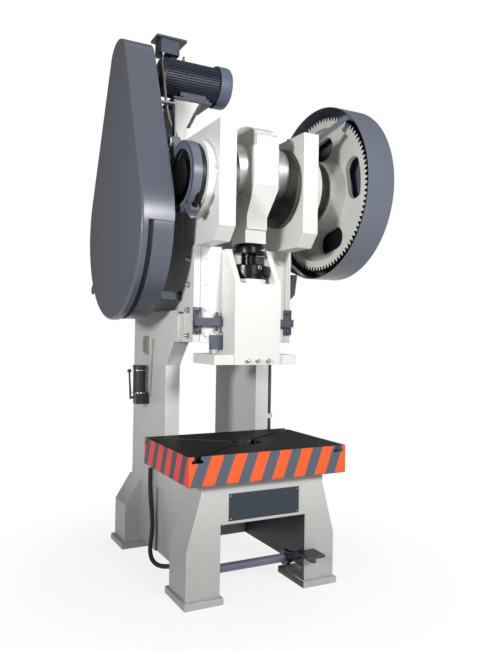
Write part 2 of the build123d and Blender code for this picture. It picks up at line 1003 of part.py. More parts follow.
# Adjusting screw: a ball end below, a long threaded stem into the rod above
with BuildPart() as adjusting_screw:
    with Locations((0, load_y, ball_z)):
        Sphere(ball_radius)
    with BuildSketch(Plane((0, load_y, ball_z))):
        Circle(screw_radius)
    extrude(amount=screw_top - ball_z)
adjusting_screw.part.label = "adjusting_screw"
export_step(adjusting_screw.part, "parts/adjusting_screw.step")

with BuildPart() as lock_nut:
    with BuildSketch(Plane((0, load_y, 0), x_dir=(1, 0, 0), z_dir=(0, -1, 0))):
        with BuildLine():
            Polyline(
                (screw_radius + running_fit, lock_nut_bottom),
                (lock_nut_radius, lock_nut_bottom),
                (lock_nut_radius, lock_nut_bottom + lock_nut_skirt),
                (lock_nut_neck, collar_bottom),
                (screw_radius + running_fit, collar_bottom),
                close=True,
            )
        make_face()
    revolve(axis=Axis((0, load_y, 0), (0, 0, 1)))
    lever_direction = (sin(radians(nut_lever_angle)), -cos(radians(nut_lever_angle)), 0)
    with BuildSketch(Plane((0, load_y, lock_nut_bottom + lock_nut_skirt / 2), z_dir=lever_direction)):
        Circle(nut_lever_radius)
    extrude(amount=lock_nut_radius + nut_lever_reach)
    with BuildSketch(Plane((0, load_y, lock_nut_bottom))):
        Circle(screw_radius + running_fit)
    extrude(amount=collar_bottom - lock_nut_bottom, mode=Mode.SUBTRACT)
lock_nut.part.label = "lock_nut"
export_step(lock_nut.part, "parts/lock_nut.step")

# Connecting rod: waisted shank with a flared big end
with BuildPart() as connecting_rod:
    with BuildSketch(across(-rod_half_width)):
        with BuildLine():
            Polyline(
                (load_y, collar_bottom),
                (load_y + collar_half_depth, collar_bottom),
                (load_y + collar_half_depth, shank_bottom),
                (load_y + shank_half_depth, shank_bottom),
                (load_y + shank_half_depth, shank_shoulder),
                (load_y + rod_half_depth, rod_flat_bottom),
                (load_y + rod_half_depth, rod_parting),
                (load_y, rod_parting),
                close=True,
            )
        make_face()
        mirror(about=Plane((load_y, 0, 0), z_dir=(1, 0, 0)))
    extrude(amount=2 * rod_half_width)
    with BuildSketch(facing(load_y + rod_half_depth)):
        with BuildLine():
            Polyline(
                (0, collar_bottom),
                (collar_half_width, collar_bottom),
                (collar_half_width, shank_bottom),
                (shank_half_width, shank_bottom),
                (shank_half_width, shank_shoulder),
                (rod_half_width, rod_flat_bottom),
                (rod_half_width, rod_parting),
                (0, rod_parting),
                close=True,
            )
        make_face()
        mirror(about=Plane.YZ)
    extrude(amount=2 * rod_half_depth, mode=Mode.INTERSECT)
    with BuildSketch(Plane((0, load_y, collar_bottom))) as rod_plan:
        Rectangle(2 * rod_half_width, 2 * rod_half_depth)
        chamfer(rod_plan.vertices(), rod_edge)
    extrude(amount=rod_parting - collar_bottom, mode=Mode.INTERSECT)
    with BuildSketch(across(-rod_half_width)):
        with Locations((load_y, pin_z)):
            Circle(crank_pin_radius + rod_bush_wall)
    extrude(amount=2 * rod_half_width, mode=Mode.SUBTRACT)
    with BuildSketch(Plane((0, load_y, collar_bottom))):
        Circle(screw_radius + running_fit)
    extrude(amount=screw_top + screw_room - collar_bottom, mode=Mode.SUBTRACT)
    with Locations((0, load_y, rod_parting)):
        with GridLocations(2 * cap_screw_x, 2 * cap_screw_y, 2, 2):
            Hole(cap_screw_radius + bolt_clearance, depth=cap_screw_grip)
connecting_rod.part.label = "connecting_rod"
export_step(connecting_rod.part, "parts/connecting_rod.step")

with BuildPart() as rod_cap:
    with BuildSketch(across(-rod_half_width + rod_cap_step)):
        with BuildLine():
            Polyline(
                (load_y - rod_half_depth, rod_flat_top),
                (load_y - rod_half_depth, rod_parting),
                (load_y + rod_half_depth, rod_parting),
                (load_y + rod_half_depth, rod_flat_top),
            )
            ThreePointArc(
                (load_y + rod_half_depth, rod_flat_top),
                (load_y, rod_crown),
                (load_y - rod_half_depth, rod_flat_top),
            )
        make_face()
    extrude(amount=2 * (rod_half_width - rod_cap_step))
    with BuildSketch(across(-rod_half_width)):
        with Locations((load_y, pin_z)):
            Circle(crank_pin_radius + rod_bush_wall)
    extrude(amount=2 * rod_half_width, mode=Mode.SUBTRACT)
    with Locations((0, load_y, rod_flat_top)):
        with GridLocations(2 * cap_screw_x, 2 * cap_screw_y, 2, 2):
            Hole(cap_screw_radius + bolt_clearance, depth=rod_flat_top - rod_parting)
    with BuildSketch(Plane((0, load_y, rod_flat_top))):
        with GridLocations(2 * cap_screw_x, 2 * cap_screw_y, 2, 2):
            Circle(cap_screw_seat)
    extrude(amount=rod_crown - rod_flat_top, mode=Mode.SUBTRACT)
rod_cap.part.label = "rod_cap"
export_step(rod_cap.part, "parts/rod_cap.step")

with BuildPart() as rod_cap_screws:
    with BuildSketch(Plane((0, load_y, rod_parting - cap_screw_grip))):
        with GridLocations(2 * cap_screw_x, 2 * cap_screw_y, 2, 2):
            Circle(cap_screw_radius)
    extrude(amount=rod_flat_top - rod_parting + cap_screw_grip)
    with BuildSketch(Plane((0, load_y, rod_flat_top))):
        with GridLocations(2 * cap_screw_x, 2 * cap_screw_y, 2, 2):
            RegularPolygon(cap_screw_head, 6)
    extrude(amount=cap_screw_head_height)
rod_cap_screws.part.label = "rod_cap_screws"
export_step(rod_cap_screws.part, "parts/rod_cap_screws.step")

with BuildPart() as rod_bush:
    with BuildSketch(across(-rod_half_width - rod_bush_reach)):
        with Locations((load_y, pin_z)):
            Circle(crank_pin_radius + rod_bush_wall)
            Circle(crank_pin_radius, mode=Mode.SUBTRACT)
    extrude(amount=2 * (rod_half_width + rod_bush_reach))
rod_bush.part.label = "rod_bush"
export_step(rod_bush.part, "parts/rod_bush.step")

# The wide crank pin between the two webs
with BuildPart() as crank_pin:
    with BuildSketch(across(-web_inner + side_gap)):
        with Locations((load_y, pin_z)):
            Circle(crank_pin_radius)
    extrude(amount=2 * (web_inner - side_gap))
crank_pin.part.label = "crank_pin"
export_step(crank_pin.part, "parts/crank_pin.step")

# Knock-out bar with a thicker block at each end, and the stops that it strikes
with BuildPart() as knockout_bar:
    with BuildSketch(facing(bar_y + bar_thickness / 2)):
        with Locations((0, (bar_bottom + bar_top) / 2)):
            Rectangle(2 * bar_half_length, bar_top - bar_bottom)
    extrude(amount=bar_thickness)
knockout_bar.part.label = "knockout_bar"
export_step(knockout_bar.part, "parts/knockout_bar.step")

with BuildPart() as knockout_stops:
    with BuildSketch(facing(housing_front)):
        with Locations(((stop_plate_inner + stop_plate_outer) / 2, (stop_plate_bottom + stop_plate_top) / 2)):
            Rectangle(stop_plate_outer - stop_plate_inner, stop_plate_top - stop_plate_bottom)
    extrude(amount=stop_plate_thickness)
    with BuildSketch(facing(housing_front - stop_plate_thickness)):
        with Locations(((stop_arm_inner + stop_plate_outer) / 2, (stop_arm_bottom + stop_arm_top) / 2)):
            Rectangle(stop_plate_outer - stop_arm_inner, stop_arm_top - stop_arm_bottom)
    extrude(amount=stop_arm_depth)
    with BuildSketch(Plane((stop_screw_x, stop_screw_y, bar_top + stop_room))):
        Circle(stop_screw_radius)
    extrude(amount=stop_screw_length)
    with BuildSketch(Plane((stop_screw_x, stop_screw_y, stop_arm_top))):
        RegularPolygon(stop_nut_radius, 6)
    extrude(amount=stop_nut_height)
    mirror(about=Plane.YZ)
knockout_stops.part.label = "knockout_stops"
export_step(knockout_stops.part, "parts/knockout_stops.step")

# Crankshaft ends: a round web, a journal and, on the right, the longer end that carries clutch and gear
with BuildPart() as crankshaft:
    for side, end_x in ((-1, drum_outer), (1, journal_end)):
        with BuildSketch(across(side * web_inner)):
            with Locations((load_y, crank_z)):
                Circle(web_radius)
        extrude(amount=side * (web_outer - web_inner))
        with BuildSketch(across(side * web_outer)):
            with Locations((load_y, crank_z)):
                Circle(journal_radius)
        extrude(amount=side * (end_x - web_outer))
    with BuildSketch(across(journal_end)):
        with Locations((load_y, crank_z)):
            Circle(shaft_end_radius)
    extrude(amount=gear_hub_back - journal_end)
crankshaft.part.label = "crankshaft"
export_step(crankshaft.part, "parts/crankshaft.step")

with BuildPart() as main_bushes:
    with BuildSketch(across(cheek_inner)):
        with Locations((load_y, crank_z)):
            Circle(bush_radius)
    extrude(amount=column_outer - cheek_inner)
    with BuildSketch(across(cheek_inner)):
        with Locations((load_y, crank_z)):
            Circle(bush_radius + bush_flange)
    extrude(amount=-bush_flange_thickness)
    with BuildSketch(across(web_outer)):
        with Locations((load_y, crank_z)):
            Circle(journal_radius + running_fit)
    extrude(amount=column_outer - web_outer, mode=Mode.SUBTRACT)
    mirror(about=Plane.YZ)
main_bushes.part.label = "main_bushes"
export_step(main_bushes.part, "parts/main_bushes.step")

# Band brake on the left crank end: drum with a recessed face, split band with lugs, spring bolt, anchor pin
with BuildPart() as brake_drum:
    with BuildSketch(across(-drum_outer)):
        with Locations((load_y, crank_z)):
            Circle(band_inner_radius - lining_gap)
    extrude(amount=drum_outer - drum_inner)
    with BuildSketch(across(-drum_flange_outer)):
        with Locations((load_y, crank_z)):
            Circle(drum_flange_radius)
    extrude(amount=drum_flange_outer - drum_inner)
    with BuildSketch(across(-drum_outer)):
        with Locations((load_y, crank_z)):
            Circle(band_inner_radius - lining_gap - drum_rim)
    extrude(amount=drum_recess, mode=Mode.SUBTRACT)
    with BuildSketch(across(-drum_outer)):
        with Locations((load_y, crank_z)):
            Circle(journal_radius)
    extrude(amount=drum_outer - drum_inner, mode=Mode.SUBTRACT)
brake_drum.part.label = "brake_drum"
export_step(brake_drum.part, "parts/brake_drum.step")

brake_plane = Plane((-brake_outer_face, load_y, crank_z), x_dir=(0, 1, 0), z_dir=(1, 0, 0))
with BuildPart() as brake_band:
    with BuildSketch(brake_plane):
        Circle(band_outer_radius)
        with PolarLocations(band_lug_reach - band_lug_length / 2, 1, start_angle=band_split_angle):
            Rectangle(band_lug_length, band_split_gap + 2 * band_lug_thickness)
        with PolarLocations(band_ear_reach / 2, 1, start_angle=band_ear_angle):
            Rectangle(band_ear_reach, 2 * band_ear_radius)
        with PolarLocations(band_ear_reach, 1, start_angle=band_ear_angle):
            Circle(band_ear_radius)
            Circle(anchor_pin_radius + pin_clearance, mode=Mode.SUBTRACT)
        Circle(band_inner_radius, mode=Mode.SUBTRACT)
        with PolarLocations(band_lug_reach / 2, 1, start_angle=band_split_angle):
            Rectangle(band_lug_reach + band_split_gap, band_split_gap, mode=Mode.SUBTRACT)
    extrude(amount=brake_outer_face - brake_inner_face)
    with BuildSketch(spring_bolt_plane):
        Circle(spring_bolt_radius + pin_clearance)
    extrude(amount=spring_bolt_tail, both=True, mode=Mode.SUBTRACT)
brake_band.part.label = "brake_band"
export_step(brake_band.part, "parts/brake_band.step")

with BuildPart() as brake_fixings:
    with BuildSketch(spring_bolt_plane):
        Circle(spring_bolt_radius)
    extrude(amount=spring_bolt_tip)
    with BuildSketch(spring_bolt_plane):
        Circle(spring_bolt_radius)
    extrude(amount=-spring_bolt_tail)
    with BuildSketch(spring_bolt_plane.offset(-spring_bolt_tail)):
        RegularPolygon(spring_nut_radius, 6)
    extrude(amount=spring_bolt_tail - band_split_gap / 2 - band_lug_thickness)
    with BuildSketch(spring_bolt_plane.offset(band_split_gap / 2 + band_lug_thickness)):
        Circle(spring_radius)
    extrude(amount=spring_length)
    with BuildSketch(spring_bolt_plane.offset(band_split_gap / 2 + band_lug_thickness + spring_length)):
        RegularPolygon(spring_nut_radius, 6)
    extrude(amount=spring_nut_height)
    with BuildSketch(brake_plane.offset(-anchor_pin_reach)):
        with PolarLocations(band_ear_reach, 1, start_angle=band_ear_angle):
            Circle(anchor_pin_radius)
    extrude(amount=brake_outer_face - cheek_outer + anchor_pin_reach)
brake_fixings.part.label = "brake_fixings"
export_step(brake_fixings.part, "parts/brake_fixings.step")

with BuildPart() as clutch_hub:
    with BuildSketch(across(journal_end)):
        with Locations((load_y, crank_z)):
            Circle(clutch_radius)
            Circle(shaft_end_radius, mode=Mode.SUBTRACT)
    extrude(amount=clutch_outer_face - journal_end)
    chamfer(clutch_hub.faces().sort_by(Axis.X)[-1].outer_wire().edges(), clutch_bevel)
clutch_hub.part.label = "clutch_hub"
export_step(clutch_hub.part, "parts/clutch_hub.step")


def tooth_outline(teeth, turn):
    """The corner points of a spur gear: root, base, pitch and tip of each flank of each tooth."""
    pitch_radius = gear_module * teeth / 2
    base_radius = pitch_radius * cos(radians(pressure_angle))
    root_radius = pitch_radius - root_depth * gear_module
    tip_radius = pitch_radius + gear_module
    half_tooth = pi / (2 * teeth) - tooth_backlash / (4 * pitch_radius)
    pitch_involute = tan(radians(pressure_angle)) - radians(pressure_angle)
    flank = []
    for radius in (max(base_radius, root_radius), pitch_radius, tip_radius):
        roll = acos(min(1, base_radius / radius))
        flank.append((radius, half_tooth + pitch_involute - (tan(roll) - roll)))
    if base_radius > root_radius:
        flank.insert(0, (root_radius, flank[0][1]))
    points = []
    for tooth in range(teeth):
        middle = turn + 2 * pi * tooth / teeth
        for radius, half_angle in flank:
            points.append((radius * cos(middle - half_angle), radius * sin(middle - half_angle)))
        for radius, half_angle in reversed(flank):
            points.append((radius * cos(middle + half_angle), radius * sin(middle + half_angle)))
    return points


# The line from the crank axis to the back shaft: a gear tooth and a pinion gap meet on it
mesh_angle = atan2(-shaft_drop, back_shaft_y - load_y)

# Large spur gear: toothed rim, web with four oval holes, tapered boss
with BuildPart() as bull_gear:
    with BuildSketch(Plane((gear_face, load_y, crank_z), x_dir=(0, 1, 0), z_dir=(1, 0, 0))):
        with BuildLine():
            Polyline(*tooth_outline(gear_teeth, mesh_angle), close=True)
        make_face()
        Circle(gear_root_radius - gear_rim, mode=Mode.SUBTRACT)
    extrude(amount=gear_width)
    with BuildSketch(Plane((0, load_y, crank_z), x_dir=(1, 0, 0), z_dir=(0, -1, 0))):
        with BuildLine():
            Polyline(
                (gear_hub_face, shaft_end_radius + running_fit),
                (gear_hub_face, gear_boss_tip_radius),
                (gear_web_face, gear_boss_radius),
                (gear_web_face, gear_root_radius - gear_rim),
                (gear_web_face + gear_web_thickness, gear_root_radius - gear_rim),
                (gear_web_face + gear_web_thickness, gear_back_boss_radius),
                (gear_hub_back, gear_back_boss_radius),
                (gear_hub_back, shaft_end_radius + running_fit),
                close=True,
            )
        make_face()
    revolve(axis=Axis((0, load_y, crank_z), (1, 0, 0)))
    with BuildSketch(Plane((gear_hub_face, load_y, crank_z), x_dir=(0, 1, 0), z_dir=(1, 0, 0))):
        with PolarLocations(gear_hole_circle_radius, gear_hole_count, start_angle=180 - gear_hole_start):
            SlotOverall(gear_hole_length, gear_hole_width, rotation=90)
    extrude(amount=gear_hub_back - gear_hub_face, mode=Mode.SUBTRACT)
bull_gear.part.label = "bull_gear"
export_step(bull_gear.part, "parts/bull_gear.step")

with BuildPart() as pinion:
    with BuildSketch(Plane((gear_face, back_shaft_y, back_shaft_z), x_dir=(0, 1, 0), z_dir=(1, 0, 0))):
        with BuildLine():
            Polyline(*tooth_outline(pinion_teeth, mesh_angle + pi + pi / pinion_teeth), close=True)
        make_face()
        Circle(back_shaft_radius, mode=Mode.SUBTRACT)
    extrude(amount=gear_width)
pinion.part.label = "pinion"
export_step(pinion.part, "parts/pinion.step")

with BuildPart() as back_shaft:
    with BuildSketch(across(-flywheel_outer_face)):
        with Locations((back_shaft_y, back_shaft_z)):
            Circle(back_shaft_radius)
    extrude(amount=flywheel_outer_face + gear_face + gear_width)
back_shaft.part.label = "back_shaft"
export_step(back_shaft.part, "parts/back_shaft.step")

with BuildPart() as back_shaft_bushes:
    with BuildSketch(across(column_inner)):
        with Locations((back_shaft_y, back_shaft_z)):
            Circle(back_shaft_radius + back_bush_wall)
            Circle(back_shaft_radius + running_fit, mode=Mode.SUBTRACT)
    extrude(amount=bearing_boss_face - column_inner)
    mirror(about=Plane.YZ)
back_shaft_bushes.part.label = "back_shaft_bushes"
export_step(back_shaft_bushes.part, "parts/back_shaft_bushes.step")


def grooved_profile(rim_radius, start_x):
    """Points along a grooved belt rim in X and radius, from its inner edge outwards."""
    points = [(-start_x, rim_radius)]
    for belt in range(belt_count):
        middle = start_x + sheave_margin + belt_spacing * (belt + 0.5)
        half_bottom = belt_width / 2 + groove_gap
        half_top = half_bottom + groove_depth * tan(radians(groove_half_angle))
        points += [
            (-(middle - half_top), rim_radius),
            (-(middle - half_bottom), rim_radius - groove_depth),
            (-(middle + half_bottom), rim_radius - groove_depth),
            (-(middle + half_top), rim_radius),
        ]
    points.append((-(start_x + 2 * sheave_margin + belt_spacing * belt_count), rim_radius))
    return points


# Flywheel: smooth rim, belt rim beyond it, web and hub
with BuildPart() as flywheel:
    with BuildSketch(Plane((0, back_shaft_y, back_shaft_z), x_dir=(1, 0, 0), z_dir=(0, -1, 0))):
        with BuildLine():
            Polyline(
                (-flywheel_rim_inner, flywheel_radius - flywheel_rim_depth),
                (-flywheel_rim_inner, flywheel_radius),
                (-flywheel_rim_outer, flywheel_radius),
                *grooved_profile(belt_rim_radius, flywheel_rim_outer),
                (-flywheel_outer_face, flywheel_radius - flywheel_rim_depth),
                (-flywheel_web_x - flywheel_web_thickness, flywheel_radius - flywheel_rim_depth),
                (-flywheel_web_x - flywheel_web_thickness, flywheel_hub_radius),
                (-flywheel_outer_face, flywheel_hub_radius),
                (-flywheel_outer_face, back_shaft_radius),
                (-flywheel_rim_inner, back_shaft_radius),
                (-flywheel_rim_inner, flywheel_hub_radius),
                (-flywheel_web_x, flywheel_hub_radius),
                (-flywheel_web_x, flywheel_radius - flywheel_rim_depth),
                close=True,
            )
        make_face()
    revolve(axis=Axis((0, back_shaft_y, back_shaft_z), (1, 0, 0)))
flywheel.part.label = "flywheel"
export_step(flywheel.part, "parts/flywheel.step")

# V-belts in the grooves of flywheel and pulley
with BuildPart() as v_belts:
    for belt in range(belt_count):
        belt_face = flywheel_rim_outer + sheave_margin + belt_spacing * (belt + 0.5) + belt_width / 2
        for reach, side in ((belt_proud, Mode.ADD), (belt_proud - belt_depth, Mode.SUBTRACT)):
            with BuildSketch(across(-belt_face)):
                with Locations((back_shaft_y, back_shaft_z)):
                    Circle(belt_rim_radius + reach)
                with Locations((motor_y, motor_z)):
                    Circle(pulley_radius + reach)
                make_hull()
            extrude(amount=belt_width, mode=side)
v_belts.part.label = "v_belts"
export_step(v_belts.part, "parts/v_belts.step")

with BuildPart() as motor_pulley:
    with BuildSketch(Plane((0, motor_y, motor_z), x_dir=(1, 0, 0), z_dir=(0, -1, 0))):
        with BuildLine():
            Polyline(
                (-pulley_hub_right, motor_shaft_radius),
                (-pulley_hub_right, pulley_hub_radius),
                (-flywheel_rim_outer, pulley_hub_radius),
                *grooved_profile(pulley_radius, flywheel_rim_outer),
                (-flywheel_outer_face, motor_shaft_radius),
                close=True,
            )
        make_face()
    revolve(axis=Axis((0, motor_y, motor_z), (1, 0, 0)))
motor_pulley.part.label = "motor_pulley"
export_step(motor_pulley.part, "parts/motor_pulley.step")

# Motor shaft with its cooling fan inside the cowl
with BuildPart() as motor_shaft:
    with BuildSketch(across(-flywheel_outer_face)):
        with Locations((motor_y, motor_z)):
            Circle(motor_shaft_radius)
    extrude(amount=flywheel_outer_face + fan_right)
    with BuildSketch(across(fan_left)):
        with Locations((motor_y, motor_z)):
            Circle(fan_hub_radius)
        with Locations((motor_y, motor_z)):
            with PolarLocations((fan_hub_radius + fan_radius) / 2, fan_blades):
                Rectangle(fan_radius - fan_hub_radius + fan_blade_thickness, fan_blade_thickness)
    extrude(amount=fan_right - fan_left)
motor_shaft.part.label = "motor_shaft"
export_step(motor_shaft.part, "parts/motor_shaft.step")

# Motor body: finned barrel, end bell with its nose, feet and the seats on top
motor_plane = Plane((0, motor_y, motor_z), x_dir=(1, 0, 0), z_dir=(0, -1, 0))
with BuildPart() as motor_body:
    with BuildSketch(motor_plane):
        with BuildLine():
            Polyline(
                (motor_bell_left, motor_shaft_radius + side_gap),
                (motor_bell_left, motor_nose_radius),
                (motor_bell_left + motor_nose_length, motor_nose_radius + motor_nose_flare),
                (motor_body_left - motor_bell_length, motor_bell_radius - motor_bell_bevel),
                (motor_body_left - motor_bell_length + motor_bell_bevel, motor_bell_radius),
                (motor_body_left, motor_bell_radius),
                (motor_body_left, motor_core_radius),
                (motor_body_right, motor_core_radius),
                (motor_body_right, cowl_radius - cowl_wall - cowl_fit),
                (cowl_left + cowl_lap, cowl_radius - cowl_wall - cowl_fit),
                (cowl_left + cowl_lap, motor_shaft_radius + side_gap),
                close=True,
            )
        make_face()
    revolve(axis=Axis((0, motor_y, motor_z), (1, 0, 0)))
    with BuildSketch(Plane((motor_body_left, motor_y, motor_z), x_dir=(0, 1, 0), z_dir=(1, 0, 0))):
        with PolarLocations((motor_core_radius + motor_fin_radius) / 2, motor_fin_count):
            Rectangle(motor_fin_radius - motor_core_radius + motor_fin_root, motor_fin_thickness)
    extrude(amount=motor_body_right - motor_body_left)
    with BuildSketch(level(pedestal_top)):
        with Locations(((motor_foot_left + motor_foot_right) / 2, motor_y)):
            with GridLocations(0, 2 * foot_half_spread, 1, 2):
                Rectangle(motor_foot_right - motor_foot_left, foot_width)
    extrude(amount=motor_z - foot_rise - pedestal_top)
    with BuildSketch(level(motor_z + motor_core_radius - motor_fin_root)):
        with Locations(((box_neck_left + box_neck_right) / 2, motor_y)):
            Rectangle(box_neck_right - box_neck_left, box_neck_width)
    extrude(amount=box_bottom - motor_z - motor_core_radius + motor_fin_root)
    with BuildSketch(Plane((eye_x, motor_y, motor_z + motor_core_radius - motor_fin_root))):
        Circle(eye_boss_radius)
    extrude(amount=eye_seat - motor_z - motor_core_radius + motor_fin_root)
motor_body.part.label = "motor_body"
export_step(motor_body.part, "parts/motor_body.step")

with BuildPart() as fan_cowl:
    with BuildSketch(motor_plane):
        with BuildLine():
            Polyline(
                (cowl_left, cowl_radius - cowl_wall),
                (cowl_left, cowl_radius),
                (cowl_right - cowl_round, cowl_radius),
            )
            RadiusArc(
                (cowl_right - cowl_round, cowl_radius), (cowl_right, cowl_radius - cowl_round), cowl_round)
            Polyline(
                (cowl_right, cowl_radius - cowl_round),
                (cowl_right, 0),
                (cowl_right - cowl_wall, 0),
                (cowl_right - cowl_wall, cowl_radius - cowl_round),
            )
            RadiusArc(
                (cowl_right - cowl_wall, cowl_radius - cowl_round),
                (cowl_right - cowl_round, cowl_radius - cowl_wall),
                cowl_wall - cowl_round,
            )
            Line((cowl_right - cowl_round, cowl_radius - cowl_wall), (cowl_left, cowl_radius - cowl_wall))
        make_face()
    revolve(axis=Axis((0, motor_y, motor_z), (1, 0, 0)))
fan_cowl.part.label = "fan_cowl"
export_step(fan_cowl.part, "parts/fan_cowl.step")

with BuildPart() as terminal_box:
    with BuildSketch(level(box_bottom)):
        with Locations(((box_left + box_right) / 2, (box_front + box_back) / 2)):
            RectangleRounded(box_right - box_left, box_back - box_front, box_round)
    extrude(amount=box_top - box_bottom)
    with BuildSketch(level(box_top)):
        with Locations(((lid_left + lid_right) / 2, (box_front + box_back) / 2)):
            RectangleRounded(lid_right - lid_left, box_back - box_front + 2 * lid_lap, box_round)
    extrude(amount=lid_thickness)
terminal_box.part.label = "terminal_box"
export_step(terminal_box.part, "parts/terminal_box.step")

with BuildPart() as eye_bolt:
    with BuildSketch(Plane((eye_x, motor_y, eye_seat))):
        Circle(eye_shank_radius)
    extrude(amount=eye_rise)
    with Locations(Location((eye_x, motor_y, eye_seat + eye_rise + eye_ring_radius), (0, 90, 0))):
        Torus(eye_ring_radius, eye_ring_wire)
eye_bolt.part.label = "eye_bolt"
export_step(eye_bolt.part, "parts/eye_bolt.step")

# Motor pedestal: base plate on two gussets that stand on the left side frame, with a strut in front
with BuildPart() as motor_pedestal:
    with BuildSketch(level(foot_plate_bottom)):
        with Locations(((pedestal_left + pedestal_right) / 2, motor_y)):
            Rectangle(pedestal_right - pedestal_left, 2 * pedestal_half_depth)
    extrude(amount=foot_plate_thickness)
    for gusset_front in (gusset_face, 2 * motor_y - gusset_face - gusset_thickness):
        with BuildSketch(facing(gusset_front + gusset_thickness)):
            with BuildLine():
                Polyline(
                    (gusset_left, foot_plate_bottom),
                    (gusset_right, foot_plate_bottom),
                    (gusset_waist, gusset_waist_z),
                    (-column_inner, frame_top),
                    (-head_outer, frame_top),
                    close=True,
                )
            make_face()
        extrude(amount=gusset_thickness)
motor_pedestal.part.label = "motor_pedestal"
export_step(motor_pedestal.part, "parts/motor_pedestal.step")

with BuildPart() as pedestal_strut:
    strut_low = Vector(gusset_waist, gusset_face - strut_radius, gusset_waist_z)
    strut_high = Vector(gusset_right, gusset_face - strut_radius, foot_plate_bottom - strut_radius)
    with BuildSketch(Plane(origin=strut_low, z_dir=strut_high - strut_low)):
        Circle(strut_radius)
    extrude(amount=(strut_high - strut_low).length)
pedestal_strut.part.label = "pedestal_strut"
export_step(pedestal_strut.part, "parts/pedestal_strut.step")

# Belt guard: a pan over flywheel and pulley, cut back below so that the smooth rim shows
guard_axis = Vector(0, guard_upper_y - back_shaft_y, guard_upper_z - back_shaft_z)
guard_lean = asin((guard_lower_radius - guard_upper_radius) / guard_axis.length)
guard_normal = (
    Vector(0, -guard_axis.Z, guard_axis.Y).normalized() * cos(guard_lean)
    + guard_axis.normalized() * sin(guard_lean))


def guard_front_y(z, inset):
    """Where the straight front side of the belt guard stands at a height, moved in by inset."""
    reach = guard_normal.Y * back_shaft_y + guard_normal.Z * back_shaft_z + guard_lower_radius - inset
    return (reach - guard_normal.Z * z) / guard_normal.Y


def guard_shape(inset):
    """The belt guard's outside, or its hollow when moved in by the wall, with a rounded outer edge."""
    with BuildPart() as shape:
        with BuildSketch(across(-guard_outer_face + inset)):
            with Locations((back_shaft_y, back_shaft_z)):
                Circle(guard_lower_radius - inset)
            with Locations((guard_upper_y, guard_upper_z)):
                Circle(guard_upper_radius - inset)
            make_hull()
        extrude(amount=guard_outer_face - inset - guard_back_edge)
        fillet(shape.faces().sort_by(Axis.X)[0].edges(), guard_round - inset)
    return shape.part


guard_outside = guard_shape(0)
guard_hollow = guard_shape(guard_wall)
with BuildPart() as belt_guard:
    add(guard_outside)
    add(guard_hollow, mode=Mode.SUBTRACT)
    with BuildSketch(across(-guard_lower_edge)):
        with Locations((back_shaft_y, guard_split_z - guard_lower_radius)):
            Rectangle(2 * (guard_lower_radius + guard_wall), 2 * guard_lower_radius)
    extrude(amount=guard_lower_edge - guard_back_edge, mode=Mode.SUBTRACT)
    with BuildSketch(across(-guard_outer_face)):
        with Locations((rear_stay_y, rear_stay_z)):
            Circle(guard_ear_radius)
        with Locations((back_shaft_y, back_shaft_z)):
            with PolarLocations(
                (guard_lower_radius + rear_stay_distance) / 2, 1,
                start_angle=degrees(atan2(rear_stay_z - back_shaft_z, rear_stay_y - back_shaft_y))
            ):
                Rectangle(rear_stay_distance - guard_lower_radius + 2 * guard_round, 2 * guard_ear_radius)
            Circle(guard_lower_radius - guard_round, mode=Mode.SUBTRACT)
    extrude(amount=guard_ear_thickness)
    with BuildSketch(across(-guard_outer_face)):
        with Locations((rear_stay_y, rear_stay_z)):
            Circle(rear_stay_radius)
    extrude(amount=guard_ear_thickness, mode=Mode.SUBTRACT)
belt_guard.part.label = "belt_guard"
export_step(belt_guard.part, "parts/belt_guard.step")

# Belt guard stays: front bar, strap behind the flywheel and rear round bar in one, and the upper bracket
with BuildPart() as guard_stays:
    with BuildSketch(across(-guard_outer_face)):
        with Locations((rear_stay_y, rear_stay_z)):
            Circle(rear_stay_radius)
    extrude(amount=guard_outer_face - head_outer)
    add(straight_bar(
        (-strap_x, rear_stay_y + rear_stay_radius, rear_stay_z), (-strap_x, front_stay_y, front_stay_z),
        strap_thickness, strap_width, (1, 0, 0)))
    add(straight_bar(
        (-strap_x, front_stay_y, front_stay_z),
        (-head_outer - strap_thickness / 2, front_stay_root_y, front_stay_z),
        strap_width, strap_thickness, (0, 0, 1)))
    with BuildSketch(across(-head_outer)):
        with Locations((front_stay_root_y, front_stay_z)):
            Circle(stay_foot_radius)
    extrude(amount=-strap_thickness)
    bracket_front = guard_front_y(bracket_top, guard_wall) + seat_gap
    with BuildSketch(facing(bracket_back)):
        with Locations((-bracket_x, (bracket_bottom + bracket_top) / 2)):
            Rectangle(bracket_thickness, bracket_top - bracket_bottom)
        bracket_tip = guard_back_edge + bracket_lap
        with Locations((-(bracket_x + bracket_tip) / 2, bracket_top - bracket_thickness / 2)):
            Rectangle(bracket_tip - bracket_x, bracket_thickness)
    extrude(amount=bracket_back - bracket_front)
    with BuildSketch(facing(bracket_foot_back)):
        with Locations((-(bracket_x + head_outer) / 2, bracket_bottom + bracket_thickness / 2)):
            Rectangle(bracket_x - head_outer, bracket_thickness)
    extrude(amount=bracket_foot_back - bracket_front)
guard_stays.part.label = "guard_stays"
export_step(guard_stays.part, "parts/guard_stays.step")

# Gear guard: a drum open towards the frame, with a tail over the pinion
with BuildPart() as gear_guard:
    for inset, depth, side in (
        (0, gear_guard_outer - gear_guard_inner, Mode.ADD),
        (gear_guard_wall, gear_guard_outer - gear_guard_inner - gear_guard_wall, Mode.SUBTRACT),
    ):
        with BuildSketch(across(gear_guard_inner)):
            with Locations((load_y, crank_z)):
                Circle(gear_guard_radius - inset)
            with Locations((back_shaft_y, back_shaft_z)):
                Circle(gear_guard_tail - inset)
            make_hull()
        extrude(amount=depth, mode=side)
gear_guard.part.label = "gear_guard"
export_step(gear_guard.part, "parts/gear_guard.step")

